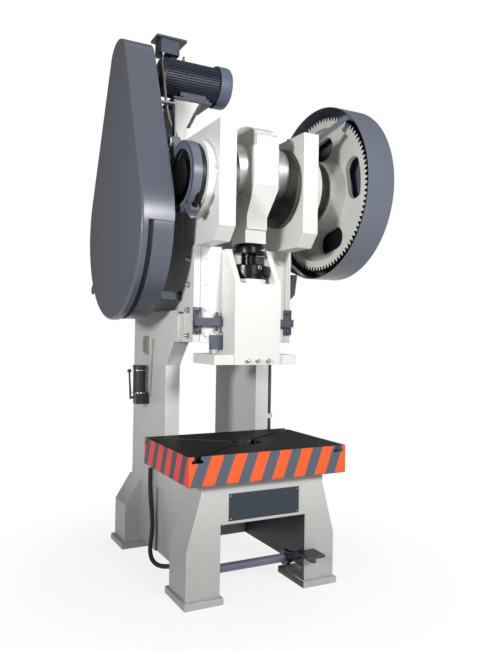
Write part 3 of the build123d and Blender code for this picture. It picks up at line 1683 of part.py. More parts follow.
with BuildPart() as gear_guard_stays:
    for angle, foot_x, foot_distance in (
        (front_stay_angle, cheek_outer, front_foot_distance),
        (top_stay_angle, head_outer, top_foot_distance),
        (low_stay_angle, head_outer, low_foot_distance),
    ):
        direction = Vector(0, cos(radians(angle)), sin(radians(angle)))
        crank_axis_point = Vector(0, load_y, crank_z)
        rim_distance = sqrt((gear_guard_radius - gear_guard_wall)**2 - (stay_width / 2)**2)
        rim_distance -= seat_gap + stay_thickness / 2
        rim_point = crank_axis_point + direction * rim_distance
        foot_point = crank_axis_point + direction * foot_distance
        stay_start = rim_point + Vector(gear_guard_inner - stay_overhang, 0, 0)
        with BuildSketch(Plane(origin=stay_start, x_dir=direction, z_dir=(1, 0, 0))):
            Rectangle(stay_thickness, stay_width)
        extrude(amount=stay_overhang + stay_lap)
        with BuildSketch(Plane(origin=foot_point + Vector(foot_x, 0, 0), x_dir=direction, z_dir=(1, 0, 0))):
            Rectangle(stay_foot_length, stay_width)
        extrude(amount=stay_thickness)
        add(straight_bar(
            foot_point + Vector(foot_x + stay_thickness / 2, 0, 0),
            rim_point + Vector(gear_guard_inner - stay_overhang / 2, 0, 0),
            stay_thickness, stay_width, direction))
gear_guard_stays.part.label = "gear_guard_stays"
export_step(gear_guard_stays.part, "parts/gear_guard_stays.step")

# Foot control: cross shaft with its pedal arm, collar and rear lever, push rod and clutch latch
with BuildPart() as pedal_shaft:
    with BuildSketch(across(-column_outer + panel_recess)):
        with Locations((pedal_shaft_y, pedal_shaft_z)):
            Circle(pedal_shaft_radius)
    extrude(amount=column_outer - panel_recess + lever_outer)
    for side in (-1, 1):
        with BuildSketch(across(side * collar_x - collar_width / 2)):
            with Locations((pedal_shaft_y, pedal_shaft_z)):
                Circle(pedal_collar_radius)
        extrude(amount=collar_width)
    with BuildSketch(across(lever_outer - lever_thickness)):
        with Locations((pedal_shaft_y, pedal_shaft_z)):
            Circle(pedal_collar_radius)
        with Locations((push_rod_y, lever_end_z)):
            Circle(lever_end_radius)
        make_hull()
    extrude(amount=lever_thickness)
pedal_shaft.part.label = "pedal_shaft"
export_step(pedal_shaft.part, "parts/pedal_shaft.step")

with BuildPart() as foot_pedal:
    with BuildSketch(across(pedal_arm_x - pedal_arm_thickness / 2)):
        with BuildLine():
            Polyline(
                (pedal_shaft_y + pedal_collar_radius, pedal_shaft_z),
                (pedal_shaft_y, pedal_shaft_z + pedal_collar_radius),
                (pedal_back, pedal_z),
                (pedal_front, pedal_z),
                (pedal_front, pedal_z - pedal_rib),
                (pedal_back, pedal_z - pedal_rib),
                (pedal_shaft_y - pedal_collar_radius, pedal_shaft_z),
                (pedal_shaft_y, pedal_shaft_z - pedal_collar_radius),
                close=True,
            )
        make_face()
        with Locations((pedal_shaft_y, pedal_shaft_z)):
            Circle(pedal_collar_radius + pedal_rib / 2)
            Circle(pedal_shaft_radius, mode=Mode.SUBTRACT)
    extrude(amount=pedal_arm_thickness)
    with BuildSketch(level(pedal_z)):
        with Locations(((pedal_left + pedal_right) / 2, (pedal_front + pedal_back) / 2)):
            RectangleRounded(pedal_right - pedal_left, pedal_back - pedal_front, pedal_round)
    extrude(amount=pedal_thickness)
foot_pedal.part.label = "foot_pedal"
export_step(foot_pedal.part, "parts/foot_pedal.step")

with BuildPart() as push_rod:
    with BuildSketch(Plane((push_rod_x, push_rod_y, lever_end_z + lever_end_radius + side_gap))):
        Circle(push_rod_radius)
    extrude(amount=push_rod_top - lever_end_z - lever_end_radius - side_gap)
push_rod.part.label = "push_rod"
export_step(push_rod.part, "parts/push_rod.step")

with BuildPart() as clutch_latch:
    with BuildSketch(across(latch_x - latch_thickness / 2)):
        with BuildLine():
            Polyline(
                (latch_front, latch_top),
                (latch_back, latch_top),
                (latch_back, latch_arm_bottom + latch_arm_height),
                (push_rod_y + push_rod_radius, latch_arm_bottom + latch_arm_height),
                (push_rod_y + push_rod_radius, latch_arm_bottom),
                (latch_back - latch_lean, latch_arm_bottom),
                (latch_front + latch_lean, latch_arm_bottom + latch_lean),
                close=True,
            )
        make_face()
        with Locations((latch_pivot_y, latch_pivot_z)):
            Circle(latch_pin_radius + running_fit, mode=Mode.SUBTRACT)
    extrude(amount=latch_thickness)
clutch_latch.part.label = "clutch_latch"
export_step(clutch_latch.part, "parts/clutch_latch.step")

with BuildPart() as latch_pin:
    with BuildSketch(across(head_outer)):
        with Locations((latch_pivot_y, latch_pivot_z)):
            Circle(latch_pin_radius)
    extrude(amount=latch_x + latch_thickness / 2 + latch_pin_head_height + side_gap - head_outer)
    with BuildSketch(across(latch_x + latch_thickness / 2 + side_gap)):
        with Locations((latch_pivot_y, latch_pivot_z)):
            RegularPolygon(latch_pin_head, 6)
    extrude(amount=latch_pin_head_height)
    with BuildSketch(across(head_outer)):
        with Locations((latch_pivot_y, latch_pivot_z)):
            Circle(latch_pin_head)
    extrude(amount=latch_x - latch_thickness / 2 - side_gap - head_outer)
latch_pin.part.label = "latch_pin"
export_step(latch_pin.part, "parts/latch_pin.step")

# Hand lubricating pump on the left column, its lever, and the distributor with its line
pump_plane = Plane((pump_x, pump_y, 0))
with BuildPart() as lube_pump:
    with BuildSketch(level(pump_bottom)):
        with Locations(((pump_x - pump_block_width / 2 - column_outer) / 2, pump_y)):
            Rectangle(-pump_x - column_outer + pump_block_width / 2, pump_block_width)
    extrude(amount=pump_waist - pump_bottom)
    with BuildSketch(pump_plane.offset(pump_waist)):
        Circle(pump_radius)
    extrude(amount=pump_shoulder - pump_waist)
    with BuildSketch(pump_plane.offset(pump_shoulder)):
        Circle(pump_cap_radius)
    extrude(amount=pump_top - pump_shoulder)
    with BuildSketch(across(-pump_lever_x)):
        with Locations((pump_pivot_y, pump_pivot_z)):
            Circle(pump_pin_radius)
    extrude(amount=pump_lever_x + pump_x)
    with BuildSketch(across(pump_x - pump_block_width / 2 + pump_ear)):
        with Locations((pump_pivot_y, pump_pivot_z)):
            Circle(pump_ear)
        with Locations(((pump_y + pump_pivot_y) / 2, pump_pivot_z)):
            Rectangle(pump_pivot_y - pump_y, 2 * pump_ear)
    extrude(amount=pump_ear)
lube_pump.part.label = "lube_pump"
export_step(lube_pump.part, "parts/lube_pump.step")

with BuildPart() as pump_lever:
    with BuildSketch(across(-pump_lever_x)):
        with Locations((pump_pivot_y, pump_pivot_z)):
            Circle(pump_ear)
        with Locations((pump_knob_y, pump_knob_z)):
            Circle(pump_lever_half_width)
        make_hull()
        with Locations((pump_pivot_y, pump_pivot_z)):
            Circle(pump_pin_radius + running_fit, mode=Mode.SUBTRACT)
    extrude(amount=pump_lever_thickness)
    with Locations((-pump_lever_x + pump_lever_thickness / 2, pump_knob_y, pump_knob_z)):
        Sphere(pump_knob_radius)
pump_lever.part.label = "pump_lever"
export_step(pump_lever.part, "parts/pump_lever.step")

with BuildPart() as oil_distributor:
    with BuildSketch(across(-column_outer)):
        with Locations((distributor_y, (distributor_bottom + distributor_top) / 2)):
            Rectangle(distributor_width, distributor_top - distributor_bottom)
    extrude(amount=-distributor_depth)
    with BuildSketch(across(-column_outer - distributor_depth)):
        with Locations((distributor_y, (distributor_bottom + distributor_top) / 2)):
            with GridLocations(0, distributor_spacing, 1, distributor_outlets):
                Circle(oil_fitting_radius)
    extrude(amount=-oil_fitting_length)
    oil_route = [
        (-column_outer, oil_line_top_y, oil_line_top),
        (-oil_line_x, oil_line_top_y, oil_line_top),
        (-oil_line_x, pump_y - pump_block_width, pump_waist - oil_fitting_length),
        (-oil_line_x, pump_y - pump_block_width / 2, pump_waist - oil_fitting_length),
    ]
    with BuildLine() as oil_path:
        FilletPolyline(*oil_route, radius=oil_bend)
    with BuildSketch(Plane(origin=oil_path.line @ 0, z_dir=oil_path.line % 0)):
        Circle(oil_line_radius)
    sweep(path=oil_path.line)
oil_distributor.part.label = "oil_distributor"
export_step(oil_distributor.part, "parts/oil_distributor.step")

# Hose at the left side and conduit at the motor, with the glands at their ends
hose_route = [
    (-392, 152, 640),
    (-392, 152, 560),
    (-394, 148, 478),
    (-396, 120, 375),
    (-399, 82, 290),
    (-404, 66, 200),
    (-412, 80, 102),
    (-416, 55, 59),
    (-414, 12, 34),
    (-408, -60, 33),
    (-400, -130, 48),
    (-393, -215, 76),
    (-388, -290, 102),
    (-388, -360, 102),
]
conduit_route = [
    (-412, 8, 3238),
    (-412, 8, 3190),
    (-419, -26, 3125),
    (-424, -58, 3060),
    (-421, -66, 2985),
    (-409, -64, 2900),
    (-390, -59, 2815),
    (-361, -53, 2750),
    (-322, -50, 2705),
    (-322, -50, 2651),
]


def corner_radii(route, share):
    """One radius for each corner: a share of the shorter run over the tangent of half the turn."""
    radii = []
    for before, corner, after in zip(route, route[1:], route[2:]):
        run_in = Vector(*corner) - Vector(*before)
        run_out = Vector(*after) - Vector(*corner)
        half_turn = radians(run_in.get_angle(run_out)) / 2
        radii.append(share * min(run_in.length, run_out.length) / tan(half_turn))
    return radii


def report_tube(name, part, wire, radius):
    """Print a tube's length and how its volume compares with its section times its length."""
    ratio = part.volume / (pi * radius**2 * wire.length)
    print(name, "length", round(wire.length, 1), "volume ratio", round(ratio, 4))


with BuildPart() as hose:
    hose_radii = corner_radii(hose_route, bend_share)
    with BuildLine() as hose_path:
        FilletPolyline(*hose_route, radius=hose_radii)
    with BuildSketch(Plane(origin=hose_path.line @ 0, z_dir=hose_path.line % 0)):
        Circle(hose_radius)
    sweep(path=hose_path.line)
hose.part.label = "hose"
export_step(hose.part, "parts/hose.step")
print("hose bends", [round(radius) for radius in hose_radii])
report_tube("hose", hose.part, hose_path.wire(), hose_radius)

with BuildPart() as motor_conduit:
    conduit_radii = corner_radii(conduit_route, bend_share)
    with BuildLine() as conduit_path:
        FilletPolyline(*conduit_route, radius=conduit_radii)
    with BuildSketch(Plane(origin=conduit_path.line @ 0, z_dir=conduit_path.line % 0)):
        Circle(conduit_radius)
    sweep(path=conduit_path.line)
motor_conduit.part.label = "motor_conduit"
export_step(motor_conduit.part, "parts/motor_conduit.step")
print("conduit bends", [round(radius) for radius in conduit_radii])
report_tube("conduit", motor_conduit.part, conduit_path.wire(), conduit_radius)

with BuildPart() as hose_glands:
    upper_x, upper_y, upper_z = hose_route[0]
    with BuildSketch(level(upper_z)):
        with Locations(((upper_x - hose_block_half - column_outer) / 2, upper_y)):
            Rectangle(hose_block_half - upper_x - column_outer, 2 * hose_block_half)
    extrude(amount=hose_block_length)
    lower_x, lower_y, lower_z = hose_route[-1]
    with BuildSketch(facing(lower_y)):
        with Locations(((lower_x - hose_block_half - column_outer + panel_recess) / 2, lower_z)):
            Rectangle(hose_block_half - lower_x - column_outer + panel_recess, 2 * hose_block_half)
    extrude(amount=hose_block_length)
hose_glands.part.label = "hose_glands"
export_step(hose_glands.part, "parts/hose_glands.step")
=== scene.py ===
import math

import bmesh
import bpy
from bpy.props import FloatProperty, FloatVectorProperty, IntProperty, PointerProperty
from mathutils import Matrix, Vector


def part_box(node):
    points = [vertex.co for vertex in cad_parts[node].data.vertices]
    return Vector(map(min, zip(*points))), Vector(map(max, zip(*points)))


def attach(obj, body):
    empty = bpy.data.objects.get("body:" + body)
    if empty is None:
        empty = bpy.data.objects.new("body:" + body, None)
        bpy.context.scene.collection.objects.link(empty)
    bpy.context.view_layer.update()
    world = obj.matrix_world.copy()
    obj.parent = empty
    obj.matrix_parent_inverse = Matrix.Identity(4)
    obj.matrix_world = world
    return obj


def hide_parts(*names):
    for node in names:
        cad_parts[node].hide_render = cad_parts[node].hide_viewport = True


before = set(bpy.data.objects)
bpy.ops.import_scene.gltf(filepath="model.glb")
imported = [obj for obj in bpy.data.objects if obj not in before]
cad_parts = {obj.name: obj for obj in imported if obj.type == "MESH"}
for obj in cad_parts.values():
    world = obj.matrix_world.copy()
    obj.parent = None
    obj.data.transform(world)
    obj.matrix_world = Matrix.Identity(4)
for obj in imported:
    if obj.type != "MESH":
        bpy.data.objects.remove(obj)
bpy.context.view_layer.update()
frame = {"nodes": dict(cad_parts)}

bl_info = {
    "name": "Stamping press finish",
    "version": (1, 0, 0),
    "blender": (4, 5, 0),
    "location": "3D View > Sidebar > Press",
    "description": "Paint, small fittings and a studio for the mechanical stamping press",
    "category": "Object",
}

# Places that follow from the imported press, in metres
TABLE_LOW, TABLE_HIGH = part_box("bolster_table")
SCREW_LOW, SCREW_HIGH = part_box("adjusting_screw")
SIGN_LOW, SIGN_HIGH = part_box("sign_plate")
COWL_LOW, COWL_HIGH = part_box("fan_cowl")
BOX_LOW, BOX_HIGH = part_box("terminal_box")
PEDAL_LOW, PEDAL_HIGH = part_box("foot_pedal")
GEAR_LOW, GEAR_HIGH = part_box("bull_gear")
GIB_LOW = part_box("right_gib")[0]
STOP_LOW, STOP_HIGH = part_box("knockout_stops")
RAM_AXIS = (SCREW_LOW + SCREW_HIGH) / 2
CRANK_AXIS = (GEAR_LOW + GEAR_HIGH) / 2
MOTOR_AXIS = (COWL_LOW + COWL_HIGH) / 2

# Heights that no node's box gives: the top of the slide's housing and the underside of the motor's plate
HOUSING_TOP = 1.986
PLATE_LOW = 2.944

# A face looks along an axis where that part of its normal is above this
FACING = 0.6

# What lies within this of the table's underside counts as its lower edge
TABLE_EDGE = 0.001

# Ring of enamel on the brake drum's face
DRUM_RING_INNER, DRUM_RING_OUTER = 0.157, 0.187

# Where a bright stripe starts at the table's top: along X on the front, along -Y on the sides
FRONT_STRIPE_START = -0.5072
SIDE_STRIPE_START = 0.0125

# Radii of the oil hose and of the motor's conduit
OIL_HOSE_RADIUS = 0.014
MOTOR_CONDUIT_RADIUS = 0.009

# Control points of the two hoses, the same as the route points of the solids
OIL_HOSE_ROUTE = (
    (-0.392, 0.152, 0.640), (-0.392, 0.152, 0.560), (-0.394, 0.148, 0.478), (-0.396, 0.120, 0.375),
    (-0.399, 0.082, 0.290), (-0.404, 0.066, 0.200), (-0.412, 0.080, 0.102), (-0.416, 0.055, 0.059),
    (-0.414, 0.012, 0.034), (-0.408, -0.060, 0.033), (-0.400, -0.130, 0.048), (-0.393, -0.215, 0.076),
    (-0.388, -0.290, 0.102), (-0.388, -0.360, 0.102),
)
MOTOR_CONDUIT_ROUTE = (
    (-0.412, 0.008, 3.238), (-0.412, 0.008, 3.190), (-0.419, -0.026, 3.125), (-0.424, -0.058, 3.060),
    (-0.421, -0.066, 2.985), (-0.409, -0.064, 2.900), (-0.390, -0.059, 2.815), (-0.361, -0.053, 2.750),
    (-0.322, -0.050, 2.705), (-0.322, -0.050, 2.651),
)


def linear(red, green, blue):
    """A colour as read off a screen, 0 to 255, as the linear values that Blender works in."""
    shares = (part / 255 for part in (red, green, blue))
    return tuple(((share + 0.055) / 1.055) ** 2.4 if share > 0.04045 else share / 12.92 for share in shares)


def colour_property(name, description, default):
    """A colour that a user can change, with its default in linear values."""
    return FloatVectorProperty(
        name=name, description=description, subtype="COLOR", size=3, min=0, max=1, default=default)


class PressPaints(bpy.types.PropertyGroup):
    """Colours of the press."""

    frame: colour_property("Frame", "Light enamel on the castings and plates", linear(214, 214, 211))
    guard: colour_property("Guards", "Enamel on the belt guard, gear guard and brake", linear(84, 88, 99))
    motor: colour_property("Motor", "Enamel on the motor", linear(52, 57, 70))
    # The inner faces' dark enamel is painted shade in the hollow under the table
    inner: colour_property("Inner faces", "Dark enamel on the faces under the table", linear(66, 68, 78))
    sign: colour_property("Sign", "Enamel on the blank sign plate", linear(46, 56, 67))
    stripe_front: colour_property("Front stripe", "Bright stripe on the table's front", linear(250, 98, 36))
    # The sides' stripe and gap colours are a shaded copy of the front's: painted shade on the table's sides
    stripe_side_shaded: colour_property("Side stripe", "Bright stripe on the table's sides", linear(255, 38, 34))
    gap_front: colour_property("Front gap", "Dark stripe on the table's front", linear(84, 94, 107))
    gap_side_shaded: colour_property("Side gap", "Dark stripe on the table's sides", linear(44, 30, 46))
    table: colour_property("Table top", "Blackened top of the table", linear(22, 22, 21))
    gear: colour_property("Gear", "Primer on the large gear's web", linear(210, 210, 204))
    shaft: colour_property("Pedal shaft", "Enamel on the foot control shaft", linear(118, 119, 138))
    pump: colour_property("Pump", "Enamel on the hand pump", linear(42, 43, 37))
    hose: colour_property("Hose", "Rubber of the hose", linear(66, 64, 61))
    conduit: colour_property("Conduit", "Plastic sleeve of the motor conduit", linear(112, 110, 104))


class PressSizes(bpy.types.PropertyGroup):
    """Sizes of the finish and of the small fittings."""

    casting_edge: FloatProperty(
        name="Casting edge", description="Width of the rounding on castings", default=0.004, unit="LENGTH")
    plate_edge: FloatProperty(
        name="Plate edge", description="Width of the rounding on machined parts", default=0.002,
        unit="LENGTH")
    stripe_pitch: FloatProperty(
        name="Stripe pitch", description="From one bright stripe to the next", default=0.1412, unit="LENGTH")
    stripe_share: FloatProperty(
        name="Stripe share", description="Share of the pitch that is bright", default=0.53, min=0, max=1)
    stripe_lean: FloatProperty(
        name="Stripe lean", description="Sideways shift for each metre of height", default=0.365)
    thread_pitch: FloatProperty(
        name="Thread pitch", description="Pitch of the height screw", default=0.010, unit="LENGTH")
    spring_turns: IntProperty(name="Spring turns", description="Turns of the brake spring", default=7, min=2)


def paints():
    """The colours as they are set in the scene."""
    return bpy.context.scene.press_paints


def sizes():
    """The sizes as they are set in the scene."""
    return bpy.context.scene.press_sizes


class Shade:
    """One output of a shader node, on which Python's operators add Math nodes."""

    def __init__(self, graph, socket):
        self.graph = graph
        self.socket = socket

    def maths(self, operation, *values):
        return self.graph.node("ShaderNodeMath", {"operation": operation}, dict(enumerate(values))).out(0)

    def __add__(self, other):
        return self.maths("ADD", self, other)

    __radd__ = __add__

    def __sub__(self, other):
        return self.maths("SUBTRACT", self, other)

    def __rsub__(self, other):
        return self.maths("SUBTRACT", other, self)

    def __mul__(self, other):
        return self.maths("MULTIPLY", self, other)

    __rmul__ = __mul__

    def __truediv__(self, other):
        return self.maths("DIVIDE", self, other)

    def __gt__(self, other):
        return self.maths("GREATER_THAN", self, other)

    def __lt__(self, other):
        return self.maths("LESS_THAN", self, other)

    def fraction(self):
        return self.maths("FRACT", self)

    def root(self):
        return self.maths("SQRT", self)

    def size(self):
        return self.maths("ABSOLUTE", self)

    def at_least(self, other):
        return self.maths("MAXIMUM", self, other)

    def clamped(self):
        return self.maths("MINIMUM", self.at_least(0), 1)


class Made:
    """A node that has been made, with its outputs wrapped."""

    def __init__(self, graph, node):
        self.graph = graph
        self.node = node

    def out(self, name):
        return Shade(self.graph, self.node.outputs[name])


class Graph:
    """A node tree that starts empty and gets its nodes from one method."""

    def __init__(self, tree):
        self.tree = tree
        tree.nodes.clear()

    def node(self, kind, settings=None, values=None):
        """Adds a node, sets its settings, then its values or the links into it."""
        made = self.tree.nodes.new(kind)
        for name, value in (settings or {}).items():
            setattr(made, name, value)
        for name, value in (values or {}).items():
            self.feed(made.inputs[name], value)
        return Made(self, made)

    def feed(self, socket, value):
        """Links an output into a socket, or sets the socket's own value."""
        if isinstance(value, Shade):
            self.tree.links.new(value.socket, socket)
        elif hasattr(value, "__len__") and len(value) == 3 and socket.type == "RGBA":
            socket.default_value = (*value, 1)
        else:
            socket.default_value = value


class Finish(Graph):
    """A material under construction: one surface shader and what varies over the surface."""

    def __init__(self, name):
        self.material = bpy.data.materials.new(name)
        self.material.use_nodes = True
        super().__init__(self.material.node_tree)
        coordinates = self.node("ShaderNodeTexCoord")
        self.place = coordinates.out("Object")
        self.facing = coordinates.out("Normal")

    def noise(self, scale, detail=2.0, stretch=(1, 1, 1), roughness=0.5):
        """Noise from 0 to 1 over the piece, in features per metre."""
        place = self.node("ShaderNodeMapping", None, {"Vector": self.place, "Scale": stretch})
        return self.node(
            "ShaderNodeTexNoise", None,
            {"Vector": place.out(0), "Scale": scale, "Detail": detail, "Roughness": roughness}).out(0)

    def ramp(self, value, low, high):
        """0 below low and 1 above high, smooth between."""
        settings = {"interpolation_type": "SMOOTHSTEP"}
        return self.node("ShaderNodeMapRange", settings, {0: value, 1: low, 2: high}).out(0)

    def axes(self):
        parts = self.node("ShaderNodeSeparateXYZ", None, {0: self.place})
        return parts.out("X"), parts.out("Y"), parts.out("Z")

    def distance_from(self, centre):
        """Distance from an axis that runs along X."""
        _, y, z = self.axes()
        up, out = z - centre.z, y - centre.y
        return (up * up + out * out).root()

    def mix(self, share, first, second):
        """A colour between first and second."""
        return self.node(
            "ShaderNodeMix", {"data_type": "RGBA"}, {"Factor": share, 6: first, 7: second}).out(2)

    def bump(self, height, depth, strength=1.0):
        return self.node(
            "ShaderNodeBump", None, {"Height": height, "Distance": depth, "Strength": strength}).out(0)

    def surface(self, **values):
        """The one surface shader, with its values or links by socket name."""
        settings = {name.replace("_", " "): value for name, value in values.items()}
        shader = self.node("ShaderNodeBsdfPrincipled", None, settings)
        self.node("ShaderNodeOutputMaterial", None, {"Surface": shader.out(0)})
        return self.material


# Features per metre of the finest grain in paint
FINE_GRAIN = 420


def tinted(colour, factor):
    """A colour made lighter or darker."""
    return tuple(min(1.0, part * factor) for part in colour)


def enamel(name, colour, roughness=0.42, peel=0.00012, darkening=0.10, scuff=0.35, floor_shade=0.45):
    """Brushed or sprayed enamel: orange peel, soft patches, darker streaks that are stronger low down, and
    painted shade that darkens it towards the floor.
    """
    streaks_top, floor_shade_top, floor_shade_full = 0.55, 0.85, 0.15
    finish = Finish(name)
    patches = finish.noise(2.3, 3)
    streaks = finish.noise(9, 3, (3, 3, 0.35))
    fine = finish.noise(FINE_GRAIN, 2)
    height = finish.axes()[2]
    # Darker towards the bottom, in streaks
    low_streaks = finish.ramp(height, streaks_top, 0.0) * streaks
    share = (patches * 0.35 + low_streaks * (darkening * 6.4) + streaks * 0.15).clamped()
    base = finish.mix(share, tinted(colour, 1.03), tinted(colour, 1 - darkening * 1.6))
    # Painted shade: the enamel darkens towards the floor, where less light falls
    base = finish.mix(finish.ramp(height, floor_shade_top, floor_shade_full) * floor_shade, base, tinted(colour, 0.45))
    specks = (finish.noise(160, 4, roughness=0.7) > 0.74) * scuff
    base = finish.mix(specks * patches, base, tinted(colour, 0.6))
    rough = patches * 0.10 + streaks * 0.06 + (roughness - 0.08)
    relief = finish.bump(fine + patches * 2, peel)
    return finish.surface(
        Base_Color=base, Roughness=rough, Normal=relief, Metallic=0.0, Specular_IOR_Level=0.45)


def metal(name, colour, roughness, scale, stretch=(1, 1, 1), relief=0.00005, stain=0.35, metallic=1.0):
    """Cut or ground metal: fine marks along one way, stains and a thin oil film."""
    finish = Finish(name)
    marks = finish.noise(scale, 4, stretch)
    stains = finish.noise(11, 5, roughness=0.65)
    grain = finish.noise(scale * 6, 2)
    share = (finish.ramp(stains, 0.45, 0.75) * stain + marks * 0.25).clamped()
    base = finish.mix(share, colour, tinted(colour, 0.45))
    rough = marks * 0.16 + stains * 0.14 + (roughness - 0.12)
    height = marks + grain * 0.4
    return finish.surface(
        Base_Color=base, Roughness=rough, Metallic=metallic, Normal=finish.bump(height, relief))


def rubber(name, colour, roughness=0.55):
    """Moulded rubber or soft plastic with a dusty bloom."""
    grain_depth = 0.00025
    finish = Finish(name)
    bloom = finish.noise(14, 4)
    grain = finish.noise(300, 2)
    base = finish.mix(finish.ramp(bloom, 0.4, 0.8) * 0.5, colour, tinted(colour, 1.7))
    rough = bloom * 0.2 + (roughness - 0.1)
    return finish.surface(Base_Color=base, Roughness=rough, Normal=finish.bump(grain, grain_depth))


def striped(name, along, start, bright, gap):
    """Warning stripes: two paints that meet on slanted lines, a little uneven and chipped low down."""
    uneven, chipped_height, paint_depth = 0.0014, 0.012, 0.00012
    bare_iron = linear(58, 54, 50)
    whole_pitches = 10
    finish = Finish(name)
    x, y, z = finish.axes()
    sideways = x if along == "X" else 0 - y
    wobble = finish.noise(60, 2) * uneven
    place = sideways + (TABLE_HIGH.z - z) * sizes().stripe_lean + wobble - start
    on_stripe = (place / sizes().stripe_pitch + whole_pitches).fraction() < sizes().stripe_share
    base = finish.mix(on_stripe, gap, bright)
    patches = finish.noise(3.1, 3)
    base = finish.mix(patches * 0.15, base, tinted(gap, 0.8))
    low_edge = finish.ramp(z, TABLE_LOW.z + chipped_height, TABLE_LOW.z)
    chips = finish.noise(130, 4, roughness=0.7) + low_edge * 0.22 > 0.70
    base = finish.mix(chips * 0.8, base, bare_iron)
    rough = patches * 0.14 + 0.36
    relief = finish.bump(finish.noise(FINE_GRAIN, 2) + chips * -2.0, paint_depth)
    return finish.surface(Base_Color=base, Roughness=rough, Normal=relief)


def blackened_top(name):
    """The table's ground and blackened top: close grinding lines, oil marks and fine scratches."""
    worn_iron, line_depth = linear(120, 118, 112), 0.00003
    finish = Finish(name)
    lines = finish.noise(260, 3, (0.05, 1, 1))
    oil = finish.noise(4.2, 4, roughness=0.6)
    scratches = finish.noise(90, 5, (1, 0.12, 1), 0.75) > 0.70
    base = finish.mix(oil * 0.6, paints().table, tinted(paints().table, 1.9))
    base = finish.mix(scratches * 0.18, base, worn_iron)
    rough = oil * 0.10 + lines * 0.05 + 0.46
    return finish.surface(
        Base_Color=base, Roughness=rough, Normal=finish.bump(lines, line_depth), Specular_IOR_Level=0.07)


def gear_finish(name):
    """Primer on the gear's web and on the sides of its teeth, dark oily steel where they are cut."""
    primed_radius, cut_radius, cast_depth = 0.4535, 0.4560, 0.0006
    finish = Finish(name)
    across = finish.node("ShaderNodeSeparateXYZ", None, {0: finish.facing}).out("X").size()
    radius = finish.distance_from(CRANK_AXIS)
    cut = finish.ramp(radius, primed_radius, cut_radius) * finish.ramp(across, 0.7, 0.3)
    patches = finish.noise(7, 4, roughness=0.6)
    cast = finish.noise(55, 4)
    primer = finish.mix(finish.ramp(patches, 0.35, 0.8) * 0.35, paints().gear, tinted(paints().gear, 0.72))
    steel = finish.mix(finish.noise(35, 4), linear(44, 43, 42), linear(26, 25, 24))
    base = finish.mix(cut, primer, steel)
    rough = patches * 0.15 + 0.46 - cut * 0.06
    relief = finish.bump(cast * (1 - cut), cast_depth, 0.6)
    return finish.surface(Base_Color=base, Roughness=rough, Metallic=cut * 0.5, Normal=relief)


def web_steel(name):
    """The crank's webs, turned on a lathe: fine rings round the axis, with stains."""
    colour, ring_scale, ring_depth = linear(96, 94, 90), 25, 0.00004
    finish = Finish(name)
    place = finish.distance_from(CRANK_AXIS) + finish.axes()[0]
    rings = finish.node(
        "ShaderNodeTexWave", {"wave_type": "BANDS", "bands_direction": "X"},
        {"Vector": finish.node("ShaderNodeCombineXYZ", None, {0: place}).out(0), "Scale": ring_scale,
         "Distortion": 1.5, "Detail": 3.0}).out(1)
    stains = finish.noise(12, 5, roughness=0.65)
    share = finish.ramp(stains, 0.45, 0.8) * 0.5 + rings * 0.12
    base = finish.mix(share, colour, tinted(colour, 0.4))
    rough = rings * 0.10 + stains * 0.15 + 0.20
    return finish.surface(
        Base_Color=base, Roughness=rough, Metallic=1.0, Normal=finish.bump(rings, ring_depth))


def drum_finish(name):
    """Enamel on the outer ring of the brake drum's face, lighter than the guard paint as painted light, dark
    steel inside it and where the band rubs.
    """
    blend, relief_depth = 0.0005, 0.0001
    finish = Finish(name)
    radius = finish.distance_from(CRANK_AXIS)
    inside = finish.ramp(radius, DRUM_RING_INNER - blend, DRUM_RING_INNER + blend)
    painted = inside * finish.ramp(radius, DRUM_RING_OUTER + blend, DRUM_RING_OUTER)
    patches = finish.noise(7, 4)
    stains = finish.noise(14, 4)
    # Painted light: the ring's enamel is a lighter copy of the guard paint
    lit_guard_paint = finish.mix(patches, tinted(paints().guard, 1.5), tinted(paints().guard, 1.2))
    steel = finish.mix(stains, linear(62, 60, 56), linear(34, 33, 31))
    base = finish.mix(painted, steel, lit_guard_paint)
    rough = patches * 0.12 + 0.34
    metallic = (1 - painted) * 0.8
    return finish.surface(
        Base_Color=base, Roughness=rough, Metallic=metallic,
        Normal=finish.bump(stains + patches, relief_depth))


